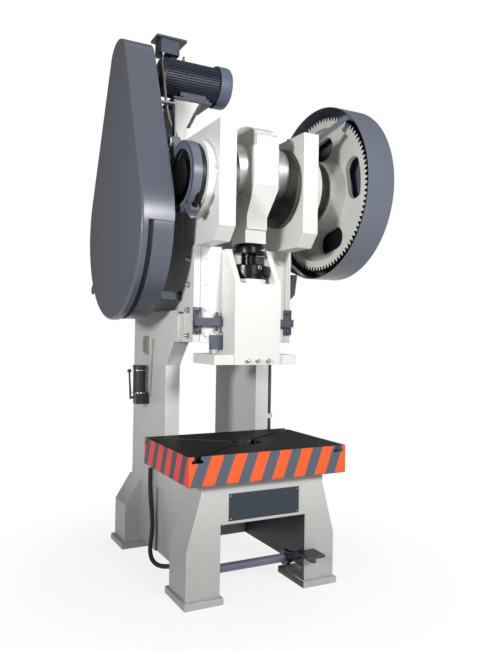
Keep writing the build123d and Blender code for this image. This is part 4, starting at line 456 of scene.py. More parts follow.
FINISH_MAKERS = {
    "press_enamel": lambda name: enamel(name, paints().frame),
    # A lighter copy of the frame's enamel, as painted light on the lit fronts of the gibs, ram, rod and
    # screws
    "bright_enamel": lambda name: enamel(
        name, tinted(paints().frame, 1.08), roughness=0.38, peel=0.00008, darkening=0.06, scuff=0.2),
    "guard_enamel": lambda name: enamel(name, paints().guard, roughness=0.30, darkening=0.12, scuff=0.2),
    # A lighter copy of the guard enamel, as painted light on the gear guard, its stays, the brake band and
    # the drum ring
    "light_guard_enamel": lambda name: enamel(name, tinted(paints().guard, 1.4), roughness=0.30, scuff=0.2),
    # Dark enamel as painted shade inside the hollow under the table
    "inner_enamel": lambda name: enamel(name, paints().inner, roughness=0.45, darkening=0.15, scuff=0.3),
    "motor_enamel": lambda name: enamel(
        name, paints().motor, roughness=0.46, peel=0.00018, darkening=0.12, scuff=0.2),
    # The cowl's enamel is lighter than the motor's, partly as its own paint and partly as a painted
    # highlight
    "cowl_enamel": lambda name: enamel(name, tinted(paints().motor, 3.4), roughness=0.36, scuff=0.2),
    "sign_enamel": lambda name: enamel(
        name, paints().sign, roughness=0.30, peel=0.00006, darkening=0.06, scuff=0.1),
    "shaft_enamel": lambda name: enamel(
        name, paints().shaft, roughness=0.40, darkening=0.12, scuff=0.4, floor_shade=0.0),
    "pump_enamel": lambda name: enamel(
        name, paints().pump, roughness=0.36, peel=0.00018, darkening=0.12, scuff=0.3, floor_shade=0.0),
    "bright_steel": lambda name: metal(
        name, linear(168, 168, 163), roughness=0.24, stretch=(1, 1, 0.2), scale=60),
    "bolt_steel": lambda name: metal(
        name, linear(186, 186, 182), roughness=0.30, scale=90, relief=0.00008, stain=0.45),
    "black_steel": lambda name: metal(
        name, linear(44, 44, 46), roughness=0.34, scale=60, relief=0.0001, stain=0.3, metallic=0.75),
    "black_gloss": lambda name: metal(
        name, linear(40, 40, 42), roughness=0.24, scale=60, relief=0.00004, stain=0.3, metallic=0.8),
    "dark_iron": lambda name: metal(
        name, linear(74, 73, 70), roughness=0.32, scale=45, relief=0.0002, stain=0.4, metallic=0.85),
    "oily_iron": lambda name: metal(
        name, linear(120, 118, 112), roughness=0.40, scale=45, relief=0.00025, stain=0.5, metallic=0.9),
    "bronze": lambda name: metal(
        name, linear(190, 148, 86), roughness=0.30, stretch=(0.2, 1, 1), scale=70, stain=0.4),
    "drum_finish": drum_finish,
    "web_steel": web_steel,
    "belt_rubber": lambda name: rubber(name, linear(38, 38, 38)),
    "hose_rubber": lambda name: rubber(name, paints().hose, roughness=0.42),
    "conduit_sleeve": lambda name: rubber(name, paints().conduit, roughness=0.38),
    "gear_finish": gear_finish,
    "table_top": blackened_top,
    "table_front": lambda name: striped(
        name, "X", FRONT_STRIPE_START, paints().stripe_front, paints().gap_front),
    # Painted shade: the sides use shaded copies of the front's stripe colours
    "table_side": lambda name: striped(
        name, "Y", SIDE_STRIPE_START, paints().stripe_side_shaded, paints().gap_side_shaded),
}


def finish_named(name):
    """The material of that name, made the first time that it is asked for."""
    return bpy.data.materials.get(name) or FINISH_MAKERS[name](name)


def dress(piece, *names):
    """Gives a piece its finishes, one for each material slot."""
    piece.data.materials.clear()
    for name in names:
        piece.data.materials.append(finish_named(name))


def add_piece(name, form, body, slot, *finishes, sharp=35, weighted=False):
    """Turns a bmesh into a piece that rides on a body, smooth except over its sharp edges."""
    mesh = bpy.data.meshes.new(name)
    form.to_mesh(mesh)
    form.free()
    mesh.shade_smooth()
    mesh.set_sharp_from_angle(angle=math.radians(sharp))
    piece = bpy.data.objects.new(name, mesh)
    bpy.context.scene.collection.objects.link(piece)
    dress(piece, *finishes)
    if weighted:
        weighting = piece.modifiers.new("Flat faces stay flat", "WEIGHTED_NORMAL")
        weighting.keep_sharp = True
    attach(piece, body)
    return piece


def cad_form(node):
    """A merged copy of a CAD node, with its flat faces joined up again."""
    seam_gap, flat_enough = 1e-5, math.radians(0.4)
    form = bmesh.new()
    form.from_mesh(frame["nodes"][node].data)
    bmesh.ops.remove_doubles(form, verts=form.verts, dist=seam_gap)
    bmesh.ops.dissolve_limit(
        form, angle_limit=flat_enough, use_dissolve_boundaries=False, verts=form.verts, edges=form.edges)
    return form


def round_off(form, edges, width):
    """Bevels the given edges in two steps."""
    bmesh.ops.bevel(
        form, geom=edges, offset=width, offset_type="OFFSET", segments=2, profile=0.5, affect="EDGES",
        clamp_overlap=True, material=-1)


def round_edges(form, width, shortest=0.02):
    """Rounds the outer edges that are long enough for it."""
    sharpest_left = math.radians(30)
    round_off(form, [
        edge for edge in form.edges
        if edge.is_manifold and edge.calc_length() > shortest
        and edge.calc_face_angle_signed(0) > sharpest_left], width)


def rounded_node(node, body, slot, finish, width):
    """A copy of a CAD node with rounded edges, which stands for it."""
    form = cad_form(node)
    round_edges(form, width)
    piece = add_piece(node + "_finished", form, body, slot, finish, weighted=True)
    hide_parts(node)
    return piece


# Vertices closer than this are one
SAME_PLACE = 1e-6


def turn_to(axis):
    """The rotation that takes +Z to an axis."""
    return Vector((0, 0, 1)).rotation_difference(Vector(axis)).to_matrix().to_4x4()


def add_disc(form, centre, axis, radius, height, sides, tip_radius=None, edge=0.0):
    """Adds a round or many-sided stub with its foot at centre, its outer end rounded by edge."""
    start = len(form.verts)
    bmesh.ops.create_cone(
        form, cap_ends=True, cap_tris=False, segments=sides, radius1=radius,
        radius2=radius if tip_radius is None else tip_radius, depth=height,
        matrix=Matrix.Translation(centre) @ turn_to(axis) @ Matrix.Translation((0, 0, height / 2)))
    form.verts.ensure_lookup_table()
    if edge:
        direction = Vector(axis).normalized()
        top = (Vector(centre) + direction * height).dot(direction)
        round_off(form, list({
            rim for vert in form.verts[start:] for rim in vert.link_edges
            if all(abs(end.co.dot(direction) - top) < SAME_PLACE for end in rim.verts)}), edge)


def add_block(form, centre, size):
    """Adds a block that lies along the axes."""
    bmesh.ops.create_cube(form, size=1, matrix=Matrix.Translation(centre) @ Matrix.Diagonal((*size, 1)))


def add_wire_circle(form, centre, axis, radius, wire, sides):
    """Adds a circle of wire, ready to be spun about an axis, and returns its edges."""
    circle = bmesh.ops.create_circle(
        form, segments=sides, radius=wire,
        matrix=Matrix.Translation(centre) @ turn_to(axis) @ Matrix.Translation((radius, 0, 0))
        @ Matrix.Rotation(math.pi / 2, 4, "X"))
    return list({edge for vert in circle["verts"] for edge in vert.link_edges})


def spin_round(form, parts, centre, axis, steps):
    """Spins an outline one full turn about an axis into a closed shape."""
    bmesh.ops.spin(
        form, geom=parts, cent=centre, axis=axis, dvec=(0, 0, 0), angle=2 * math.pi, steps=steps,
        use_merge=True, use_duplicate=False)


def add_ring(form, centre, axis, radius, wire, steps, sides):
    """Adds a round ring of wire about an axis, by spinning a circle."""
    edges = add_wire_circle(form, centre, axis, radius, wire, sides)
    spin_round(form, list({vert for edge in edges for vert in edge.verts}) + edges, centre, axis, steps)


def add_turned_outline(form, places, centre, steps):
    """Spins a closed outline about an axis along X, with its faces outwards."""
    outline = [form.verts.new(place) for place in places]
    edges = [form.edges.new(pair) for pair in zip(outline, outline[1:] + outline[:1])]
    spin_round(form, outline + edges, centre, (1, 0, 0), steps)
    bmesh.ops.recalc_face_normals(form, faces=form.faces)


def add_coil(form, start, axis, radius, wire, turns, length):
    """Adds a helical spring: a circle spun round the axis while it moves along it."""
    steps_a_turn, sides = 20, 8
    steps = turns * steps_a_turn
    edges = add_wire_circle(form, start, axis, radius, wire, sides)
    first_cap = bmesh.ops.contextual_create(form, geom=edges)["faces"]
    bmesh.ops.spin(
        form, geom=first_cap, cent=start, axis=axis, dvec=Vector(axis) * (length / steps),
        angle=2 * math.pi * turns, steps=steps, use_merge=False, use_duplicate=False)


def add_thread(form, foot, axis, core, crest, pitch, length, steps):
    """Adds a screw thread: a zigzag line along the axis, spun one turn while it climbs one pitch."""
    tooth_profile = ((0.0, core), (0.15, core), (0.4, crest), (0.6, crest), (0.85, core))
    turn = Matrix.Translation(foot) @ turn_to(axis)
    teeth = int(length / pitch)
    outline = [
        form.verts.new(turn @ Vector((radius, 0, (tooth + share) * pitch)))
        for tooth in range(teeth) for share, radius in tooth_profile]
    outline.append(form.verts.new(turn @ Vector((core, 0, teeth * pitch))))
    edges = [form.edges.new(pair) for pair in zip(outline, outline[1:])]
    bmesh.ops.spin(
        form, geom=outline + edges, cent=foot, axis=axis, dvec=Vector(axis) * (pitch / steps),
        angle=2 * math.pi, steps=steps, use_merge=False, use_duplicate=False)
    bmesh.ops.remove_doubles(form, verts=form.verts, dist=SAME_PLACE)
    bmesh.ops.recalc_face_normals(form, faces=form.faces)


def add_hex_screw(form, seat, axis, radius, height, shank=None):
    """Adds a hexagon head on a washer, and the rounded end of its shank where it shows."""
    way = Vector(axis)
    washer, washer_radius = height * 0.18, radius * 1.12
    add_disc(form, seat, axis, washer_radius, washer, sides=28, edge=washer * 0.3)
    add_disc(form, seat + way * washer, axis, radius, height, sides=6, edge=height * 0.12)
    if shank:
        add_disc(form, seat + way * (washer + height), axis, shank, height * 0.5, sides=20, edge=shank * 0.2)


def add_socket_screw(form, seat, axis, radius, height):
    """Adds a cap screw: a round head with a hexagon socket pressed into it."""
    add_disc(form, seat, axis, radius, height, sides=28, edge=radius * 0.12)
    top = seat + Vector(axis) * height
    near_top = [face for face in form.faces if (face.calc_center_median() - top).length < radius * 0.1]
    face = max(near_top, key=lambda near: near.calc_area())
    for rim, depth in ((radius * 0.40, 0), (radius * 0.02, -height * 0.5)):
        bmesh.ops.inset_region(form, faces=[face], thickness=rim, depth=depth, use_even_offset=True)


# Lens that fits the photograph: width and middle of the picture and the lens's axis and length in its pixels
PICTURE_WIDTH = 483
PICTURE_MIDDLE = (241.5, 325.0)
LENS_AXIS = (241.12, 322.96)
LENS_LENGTH = 643.025
SENSOR_WIDTH = 36
FARTHEST_SEEN = 200
CAMERA_PLACE = (-1.8089, -3.8252, 1.4854)
CAMERA_YAW, CAMERA_PITCH, CAMERA_ROLL = 27.402, 0.742, 0.926

# Name, place, target, width in metres, power in watts and spread in degrees
LAMPS = (
    ("key_lamp", (0.9, -6.6, 4.0), (0.0, -0.4, 2.4), 1.6, 116, 100),
    ("left_lamp", (-4.6, -2.9, 2.3), (-0.2, -0.4, 2.2), 0.9, 28, 65),
    ("top_lamp", (0.0, -0.6, 7.0), (0.0, 0.0, 1.5), 3.6, 25, 180),
    ("back_lamp", (5.2, 3.0, 4.8), (0.0, 0.0, 1.6), 2.0, 90, 180),
)

# Strength of the background where it is mirrored, and as light on the press
MIRRORED_STRENGTH = 0.16
LIGHT_STRENGTH = 0.10

# Floor: half its width, its gap below the feet, the radii between which the shadow fades, and its share
FLOOR_REACH = 30
FLOOR_GAP = 0.0005
SHADOW_FULL, SHADOW_GONE = 0.5, 1.7
SHADOW_SHARE = 0.16


class PRESS_OT_studio(bpy.types.Operator):
    """Set up the camera, the lamps, the floor and the background"""

    bl_idname = "press.studio"
    bl_label = "Studio"

    def execute(self, context):
        scene = context.scene
        scene.view_settings.view_transform = "Standard"
        self.place_camera(scene)
        for name, place, target, width, power, spread in LAMPS:
            light = bpy.data.lights.new(name, "AREA")
            light.shape = "DISK"
            light.size = width
            light.energy = power
            light.spread = math.radians(spread)
            lamp = bpy.data.objects.new(name, light)
            lamp.location = place
            lamp.rotation_euler = (Vector(target) - Vector(place)).to_track_quat("-Z", "Y").to_euler()
            scene.collection.objects.link(lamp)
        self.make_background(scene)
        self.make_floor()
        return {"FINISHED"}

    def place_camera(self, scene):
        """The camera of the photograph, turned about the upright, tilted up and rolled."""
        lens = bpy.data.cameras.new("press_camera")
        lens.sensor_fit = "HORIZONTAL"
        lens.sensor_width = SENSOR_WIDTH
        lens.lens = LENS_LENGTH * SENSOR_WIDTH / PICTURE_WIDTH
        lens.shift_x = (PICTURE_MIDDLE[0] - LENS_AXIS[0]) / PICTURE_WIDTH
        lens.shift_y = (LENS_AXIS[1] - PICTURE_MIDDLE[1]) / PICTURE_WIDTH
        lens.clip_end = FARTHEST_SEEN
        camera = bpy.data.objects.new("press_camera", lens)
        camera.matrix_world = (
            Matrix.Translation(CAMERA_PLACE) @ Matrix.Rotation(-math.radians(CAMERA_YAW), 4, "Z")
            @ Matrix.Rotation(math.radians(90 + CAMERA_PITCH), 4, "X")
            @ Matrix.Rotation(math.radians(CAMERA_ROLL), 4, "Z"))
        scene.collection.objects.link(camera)
        scene.camera = camera

    def make_background(self, scene):
        """White where it is seen directly or through glass, grey where it is mirrored, and a soft light."""
        world = bpy.data.worlds.new("press_studio")
        scene.world = world
        world.use_nodes = True
        graph = Graph(world.node_tree)
        path = graph.node("ShaderNodeLightPath")
        mirrored = path.out("Is Glossy Ray") * MIRRORED_STRENGTH
        seen = mirrored.at_least(path.out("Is Camera Ray")).at_least(path.out("Is Transmission Ray"))
        strength = graph.node(
            "ShaderNodeMapRange", None, {"Value": seen, "To Min": LIGHT_STRENGTH, "To Max": 1.0})
        background = graph.node(
            "ShaderNodeBackground", None, {"Color": (1, 1, 1, 1), "Strength": strength.out(0)})
        graph.node("ShaderNodeOutputWorld", None, {"Surface": background.out(0)})

    def make_floor(self):
        """A pale plain floor that keeps the shadow near the press and fades to white away from it."""
        form = bmesh.new()
        below_feet = Matrix.Translation((0, 0, -FLOOR_GAP))
        bmesh.ops.create_grid(form, x_segments=2, y_segments=2, size=FLOOR_REACH, matrix=below_feet)
        mesh = bpy.data.meshes.new("floor")
        form.to_mesh(mesh)
        form.free()
        floor = bpy.data.objects.new("floor", mesh)
        bpy.context.scene.collection.objects.link(floor)
        finish = Finish("floor_white")
        x, y, _ = finish.axes()
        near = 1 - finish.ramp((x * x + y * y).root(), SHADOW_FULL, SHADOW_GONE)
        path = finish.node("ShaderNodeLightPath")
        seen = path.out("Is Camera Ray").at_least(path.out("Is Glossy Ray"))
        pale = finish.node("ShaderNodeBsdfDiffuse", None, {"Color": (0.9, 0.9, 0.9, 1)})
        white = finish.node("ShaderNodeEmission", None, {"Color": (1, 1, 1, 1), "Strength": 1.0})
        share = seen * (1 - near * SHADOW_SHARE)
        mixed = finish.node("ShaderNodeMixShader", None, {0: share, 1: pale.out(0), 2: white.out(0)})
        finish.node("ShaderNodeOutputMaterial", None, {"Surface": mixed.out(0)})
        mesh.materials.append(finish.material)


class PRESS_OT_hoses(bpy.types.Operator):
    """Lay the oil hose and the motor conduit along their routes"""

    bl_idname = "press.hoses"
    bl_label = "Hose and conduit"

    def execute(self, context):
        hose = self.lay("oil_hose", OIL_HOSE_ROUTE, OIL_HOSE_RADIUS, "hose_rubber", "hose")
        ferrules = bmesh.new()
        ferrule_radius, ferrule_length = 0.0175, 0.045
        for end, way in ((OIL_HOSE_ROUTE[0], (0, 0, 1)), (OIL_HOSE_ROUTE[-1], (0, -1, 0))):
            foot = Vector(end) - Vector(way) * ferrule_length
            add_disc(ferrules, foot, way, ferrule_radius, ferrule_length, sides=28, edge=0.002)
        ferrule_piece = add_piece("hose_ferrules", ferrules, "machine_frame", "bright_steel", "bolt_steel")
        conduit = self.lay(
            "motor_sleeve", MOTOR_CONDUIT_ROUTE, MOTOR_CONDUIT_RADIUS, "conduit_sleeve", "motor_conduit")
        glands = bmesh.new()
        nut_radius, nut_height = 0.016, 0.012
        sleeve_radius, sleeve_tip, sleeve_height = 0.0135, 0.0105, 0.018
        for end, upward in ((MOTOR_CONDUIT_ROUTE[0], -1), (MOTOR_CONDUIT_ROUTE[-1], 1)):
            way = Vector((0, 0, upward))
            add_disc(glands, end, way, nut_radius, nut_height, sides=6, edge=0.001)
            foot = Vector(end) + way * nut_height
            add_disc(
                glands, foot, way, sleeve_radius, sleeve_height, sides=24, tip_radius=sleeve_tip, edge=0.001)
        gland_piece = add_piece("conduit_glands", glands, "machine_frame", "black_steel", "black_steel")
        return {"FINISHED"}

    def lay(self, name, route, radius, finish, node):
        """A smooth round line through the route's points."""
        curve = bpy.data.curves.new(name, "CURVE")
        curve.dimensions = "3D"
        curve.bevel_depth = radius
        curve.bevel_resolution = 5
        curve.resolution_u = 10
        curve.use_fill_caps = True
        spline = curve.splines.new("NURBS")
        spline.points.add(len(route) - 1)
        for point, place in zip(spline.points, route):
            point.co = (*place, 1)
        spline.order_u = 3
        spline.use_endpoint_u = True
        tube = bpy.data.objects.new(name, curve)
        bpy.context.scene.collection.objects.link(tube)
        curve.materials.append(finish_named(finish))
        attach(tube, "machine_frame")
        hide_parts(node)
        return tube


class PRESS_OT_castings(bpy.types.Operator):
    """Round the edges of the side frames, legs, plates and gibs"""

    bl_idname = "press.castings"
    bl_label = "Castings and plates"

    def execute(self, context):
        edge = sizes().casting_edge
        for node, width in (
            ("left_side_frame", edge), ("right_side_frame", edge), ("front_legs", edge * 0.75),
            ("bed_plate", edge * 0.5), ("lower_cross_wall", edge * 0.5), ("head_cross_plate", edge * 0.5),
            ("rear_cross_plate", edge * 0.5),
        ):
            self.paint_shade_on_inner_faces(rounded_node(node, "machine_frame", "frame_paint", "press_enamel", width))
        pedestal = rounded_node("motor_pedestal", "machine_frame", "frame_paint", "press_enamel", edge * 0.5)
        dress(pedestal, "press_enamel", "motor_enamel")
        for face in pedestal.data.polygons:
            face.material_index = int(face.center.z > PLATE_LOW)
        for node in ("left_gib", "right_gib"):
            rounded_node(node, "machine_frame", "frame_paint", "bright_enamel", sizes().plate_edge)
        return {"FINISHED"}

    def paint_shade_on_inner_faces(self, piece):
        """Dark enamel as painted shade on the faces round the hollow under the table."""
        dress(piece, "press_enamel", "inner_enamel")
        apron_depth, least_inward = 0.08, 0.2
        front, top = TABLE_LOW.y + apron_depth, TABLE_LOW.z + TABLE_EDGE
        for face in piece.data.polygons:
            x, y, z = face.normal
            centre = face.center
            toward_middle = x * centre.x < -least_inward or z < -FACING or (y > FACING and centre.y < 0)
            face.material_index = int(front < centre.y and centre.z < top and toward_middle)


class PRESS_OT_table(bpy.types.Operator):
    """Finish the bolster table: blackened top, striped front and sides"""

    bl_idname = "press.table"
    bl_label = "Bolster table"

    def execute(self, context):
        skin = 0.004
        form = cad_form("bolster_table")
        round_edges(form, sizes().plate_edge, shortest=0.015)
        table = add_piece(
            "table_finished", form, "machine_frame", "table_iron", "table_top", "table_front", "table_side",
            "black_steel", weighted=True)
        for face in table.data.polygons:
            x, y, z = face.normal
            above_edge = face.center.z > TABLE_LOW.z + TABLE_EDGE
            if z > FACING:
                face.material_index = 0
            elif above_edge and y < -FACING and face.center.y < TABLE_LOW.y + skin:
                face.material_index = 1
            elif abs(x) > FACING and TABLE_HIGH.x - abs(face.center.x) < skin:
                face.material_index = 2
            else:
                face.material_index = 3
        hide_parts("bolster_table")
        return {"FINISHED"}


class PRESS_OT_ram_and_rod(bpy.types.Operator):
    """Finish the ram, the connecting rod, the knock-out and their screws"""

    bl_idname = "press.ram_and_rod"
    bl_label = "Ram and rod"

    def execute(self, context):
        edge = sizes().plate_edge
        rounded_node("ram", "ram_slide", "frame_paint", "bright_enamel", edge * 1.5)
        rounded_node("connecting_rod", "rod", "frame_paint", "bright_enamel", edge * 1.5)
        rounded_node("rod_cap", "rod", "frame_paint", "bright_enamel", edge * 1.5)
        rounded_node("knockout_bar", "knockout", "guard_paint", "guard_enamel", edge)
        rounded_node("knockout_stops", "machine_frame", "guard_paint", "guard_enamel", edge * 0.6)
        self.add_height_screw()
        self.add_cap_screw()
        self.add_lever_sleeve()
        self.add_stop_details()
        self.add_clamp_screws()
        return {"FINISHED"}

    def add_height_screw(self):
        """Ball end and a stem with a coarse thread."""
        crest, core, shank = 0.046, 0.041, 0.0415
        ball_radius, thread_start, thread_end_gap = 0.080, 0.055, 0.005
        up = (0, 0, 1)
        ball = Vector((RAM_AXIS.x, RAM_AXIS.y, SCREW_LOW.z + ball_radius))
        length = SCREW_HIGH.z - ball.z
        form = bmesh.new()
        bmesh.ops.create_uvsphere(
            form, u_segments=40, v_segments=24, radius=ball_radius, matrix=Matrix.Translation(ball))
        add_disc(form, ball, up, shank, length, sides=40, edge=0.003)
        thread_foot = ball + Vector((0, 0, thread_start))
        thread_length = length - thread_start - thread_end_gap
        add_thread(form, thread_foot, up, core, crest, sizes().thread_pitch, thread_length, steps=40)
        screw = add_piece("height_screw_thread", form, "height_screw", "black_steel", "black_gloss")
        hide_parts("adjusting_screw")

    def add_cap_screw(self):
        """The set screw with its bright rim on the front of the ball cap."""
        toward_right, height, sunk = math.radians(8), 0.068, 0.002
        rim_radius, rim_wire, rim_rise = 0.0105, 0.0032, 0.003
        head_radius, head_height = 0.009, 0.004
        low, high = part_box("ball_cap")
        way = Vector((math.sin(toward_right), -math.cos(toward_right), 0))
        seat = Vector((RAM_AXIS.x, RAM_AXIS.y, low.z + height)) + way * ((high.x - low.x) / 2 - sunk)
        form = bmesh.new()
        add_ring(form, seat + way * rim_rise, way, rim_radius, rim_wire, steps=40, sides=12)
        add_piece("cap_screw_rim", form, "ram_slide", "bright_steel", "bolt_steel")
        form = bmesh.new()
        add_socket_screw(form, seat, way, head_radius, head_height)
        add_piece("cap_screw", form, "ram_slide", "black_steel", "black_steel")

    def add_lever_sleeve(self):
        """A bright sleeve on the stub that turns the nut, and the tapered key that locks it below."""
        toward_right, nut_radius, above_foot = math.radians(27), 0.094, 0.017
        sleeve_radius, sleeve_length = 0.0095, 0.024
        key_radius, key_head, key_length = 0.004, 0.0085, 0.040
        foot = Vector((RAM_AXIS.x, RAM_AXIS.y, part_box("lock_nut")[0].z))
        way = Vector((math.sin(toward_right), -math.cos(toward_right), 0))
        seat = foot + Vector((0, 0, above_foot)) + way * nut_radius
        form = bmesh.new()
        add_disc(form, seat, way, sleeve_radius, sleeve_length, sides=28, edge=0.0015)
        key_end = foot + Vector((0.043, -0.023, -0.016))
        key_way = (0.89, -0.46, 0.10)
        add_disc(form, key_end, key_way, key_radius, key_length, sides=20, tip_radius=key_head)
        add_piece("nut_lever_sleeve", form, "rod", "bright_steel", "bolt_steel")

    def add_stop_details(self):
        """Threads on the two stop screws, and the screws that hold their brackets."""
        core, crest, pitch = 0.0086, 0.0097, 0.0025
        screw_x, screw_y, bracket_screw_x = 0.190, -0.392, 0.308
        threads_below_and_above = ((1.487, 0.026), (1.576, 0.018))
        inset, sunk, head_radius, head_height = 0.018, 0.014, 0.013, 0.010
        form = bmesh.new()
        for side in (-1, 1):
            for foot, length in threads_below_and_above:
                place = Vector((side * screw_x, screw_y, foot))
                add_thread(form, place, (0, 0, 1), core, crest, pitch, length, steps=20)
            for height in (STOP_LOW.z + inset, STOP_HIGH.z - inset):
                seat = Vector((side * bracket_screw_x, STOP_HIGH.y - sunk, height))
                add_socket_screw(form, seat, (0, -1, 0), head_radius, head_height)
        add_piece("stop_fixings", form, "machine_frame", "black_steel", "black_steel")

    def add_clamp_screws(self):
        """Three square-shouldered screws that clamp the die shank."""
        inset, washer, head, shank = 0.013, 0.003, 0.012, 0.007
        washer_radius, head_radius, shank_radius = 0.0155, 0.0125, 0.0065
        front = Vector((0, -1, 0))
        low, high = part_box("shank_clamp_screws")
        form = bmesh.new()
        for share in (0.0, 0.5, 1.0):
            x = low.x + inset + share * (high.x - low.x - 2 * inset)
            seat = Vector((x, high.y, (low.z + high.z) / 2))
            add_disc(form, seat, front, washer_radius, washer, sides=28, edge=0.0006)
            add_disc(form, seat + front * washer, front, head_radius, head, sides=6, edge=0.0012)
            add_disc(form, seat + front * (washer + head), front, shank_radius, shank, sides=20, edge=0.0012)
        screws = add_piece("shank_screws_finished", form, "ram_slide", "bright_steel", "bolt_steel")
        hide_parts("shank_clamp_screws")


class PRESS_OT_brake(bpy.types.Operator):
    """Make the brake's spring bolt with its coil spring, the anchor pin and the ring on the drum"""

    bl_idname = "press.brake"
    bl_label = "Brake spring and pin"

    def execute(self, context):
        self.add_spring_bolt()
        pin_end = self.add_pin()
        self.add_drum_ring()
        self.add_pin_screw(pin_end)
        return {"FINISHED"}

    def from_crank(self, x, radius, angle):
        """A place at a distance and an angle from the crank's axis."""
        turn = math.radians(angle)
        return Vector((x, CRANK_AXIS.y + radius * math.cos(turn), CRANK_AXIS.z + radius * math.sin(turn)))

    def add_spring_bolt(self):
        """The bolt through the band's two lugs, with its nuts and the coil spring between washers."""
        angle, radius, band_middle = 236, 0.242, -0.425
        lug, spring, washer, nut, lock_nut, nut_gap = 0.027, 0.059, 0.003, 0.012, 0.009, 0.001
        bolt_start, bolt_length, bolt_head = -0.052, 0.188, 0.014
        bolt_radius, nut_radius, washer_radius = 0.0078, 0.016, 0.0185
        coil_radius, coil_wire, coil_start, coil_length = 0.0128, 0.0022, 0.0325, 0.051
        turn = math.radians(angle)
        along = Vector((0, math.sin(turn), -math.cos(turn)))
        centre = self.from_crank(band_middle, radius, angle)
        form = bmesh.new()
        add_disc(form, centre + along * bolt_start, along, bolt_radius, bolt_length, sides=24, edge=0.0012)
        add_disc(form, centre - along * lug, -along, nut_radius, bolt_head, sides=6, edge=0.0014)
        for seat in (lug, lug + spring):
            add_disc(form, centre + along * seat, along, washer_radius, washer, sides=28, edge=0.0006)
        nut_seat = lug + spring + washer
        lock_nut_seat = nut_seat + nut + nut_gap
        for seat, height in ((nut_seat, nut), (lock_nut_seat, lock_nut)):
            add_disc(form, centre + along * seat, along, nut_radius, height, sides=6, edge=0.0014)
        coil_foot = centre + along * coil_start
        add_coil(form, coil_foot, along, coil_radius, coil_wire, sizes().spring_turns, coil_length)
        bolt = add_piece("brake_bolt_and_spring", form, "machine_frame", "black_steel", "black_gloss")
        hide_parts("brake_fixings")

    def add_pin(self):
        """The pin on the cheek that holds the band; returns the middle of its outer end."""
        cheek, radius, angle = -0.321, 0.286, 56
        pin_radius, length, collar_radius, collar = 0.0275, 0.137, 0.031, 0.004
        way = Vector((-1, 0, 0))
        foot = self.from_crank(cheek, radius, angle)
        form = bmesh.new()
        add_disc(form, foot, way, pin_radius, length, sides=40, edge=0.002)
        add_disc(form, foot + way * length, way, collar_radius, collar, sides=40, edge=0.001)
        pin = add_piece("brake_pin", form, "machine_frame", "bright_steel", "bright_enamel")
        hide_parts("brake_fixings")
        return foot + way * (length + collar)

    def add_pin_screw(self, pin_end):
        """The screw in the end of the pin."""
        head_radius, head_height = 0.010, 0.004
        form = bmesh.new()
        add_socket_screw(form, pin_end, (-1, 0, 0), head_radius, head_height)
        add_piece("brake_pin_screw", form, "machine_frame", "black_steel", "black_steel")

    def add_drum_ring(self):
        """The flat ring that stands a little proud of the drum's face."""
        face, thickness, outer = -0.452, 0.005, 0.1722
        centre = Vector((face, CRANK_AXIS.y, CRANK_AXIS.z))
        outline = [
            centre + Vector((depth, 0, radius)) for depth, radius in (
                (0, DRUM_RING_INNER), (0, outer), (thickness, outer), (thickness, DRUM_RING_INNER))]
        form = bmesh.new()
        add_turned_outline(form, outline, centre, steps=72)
        add_piece("drum_ring", form, "crank", "guard_paint", "light_guard_enamel")


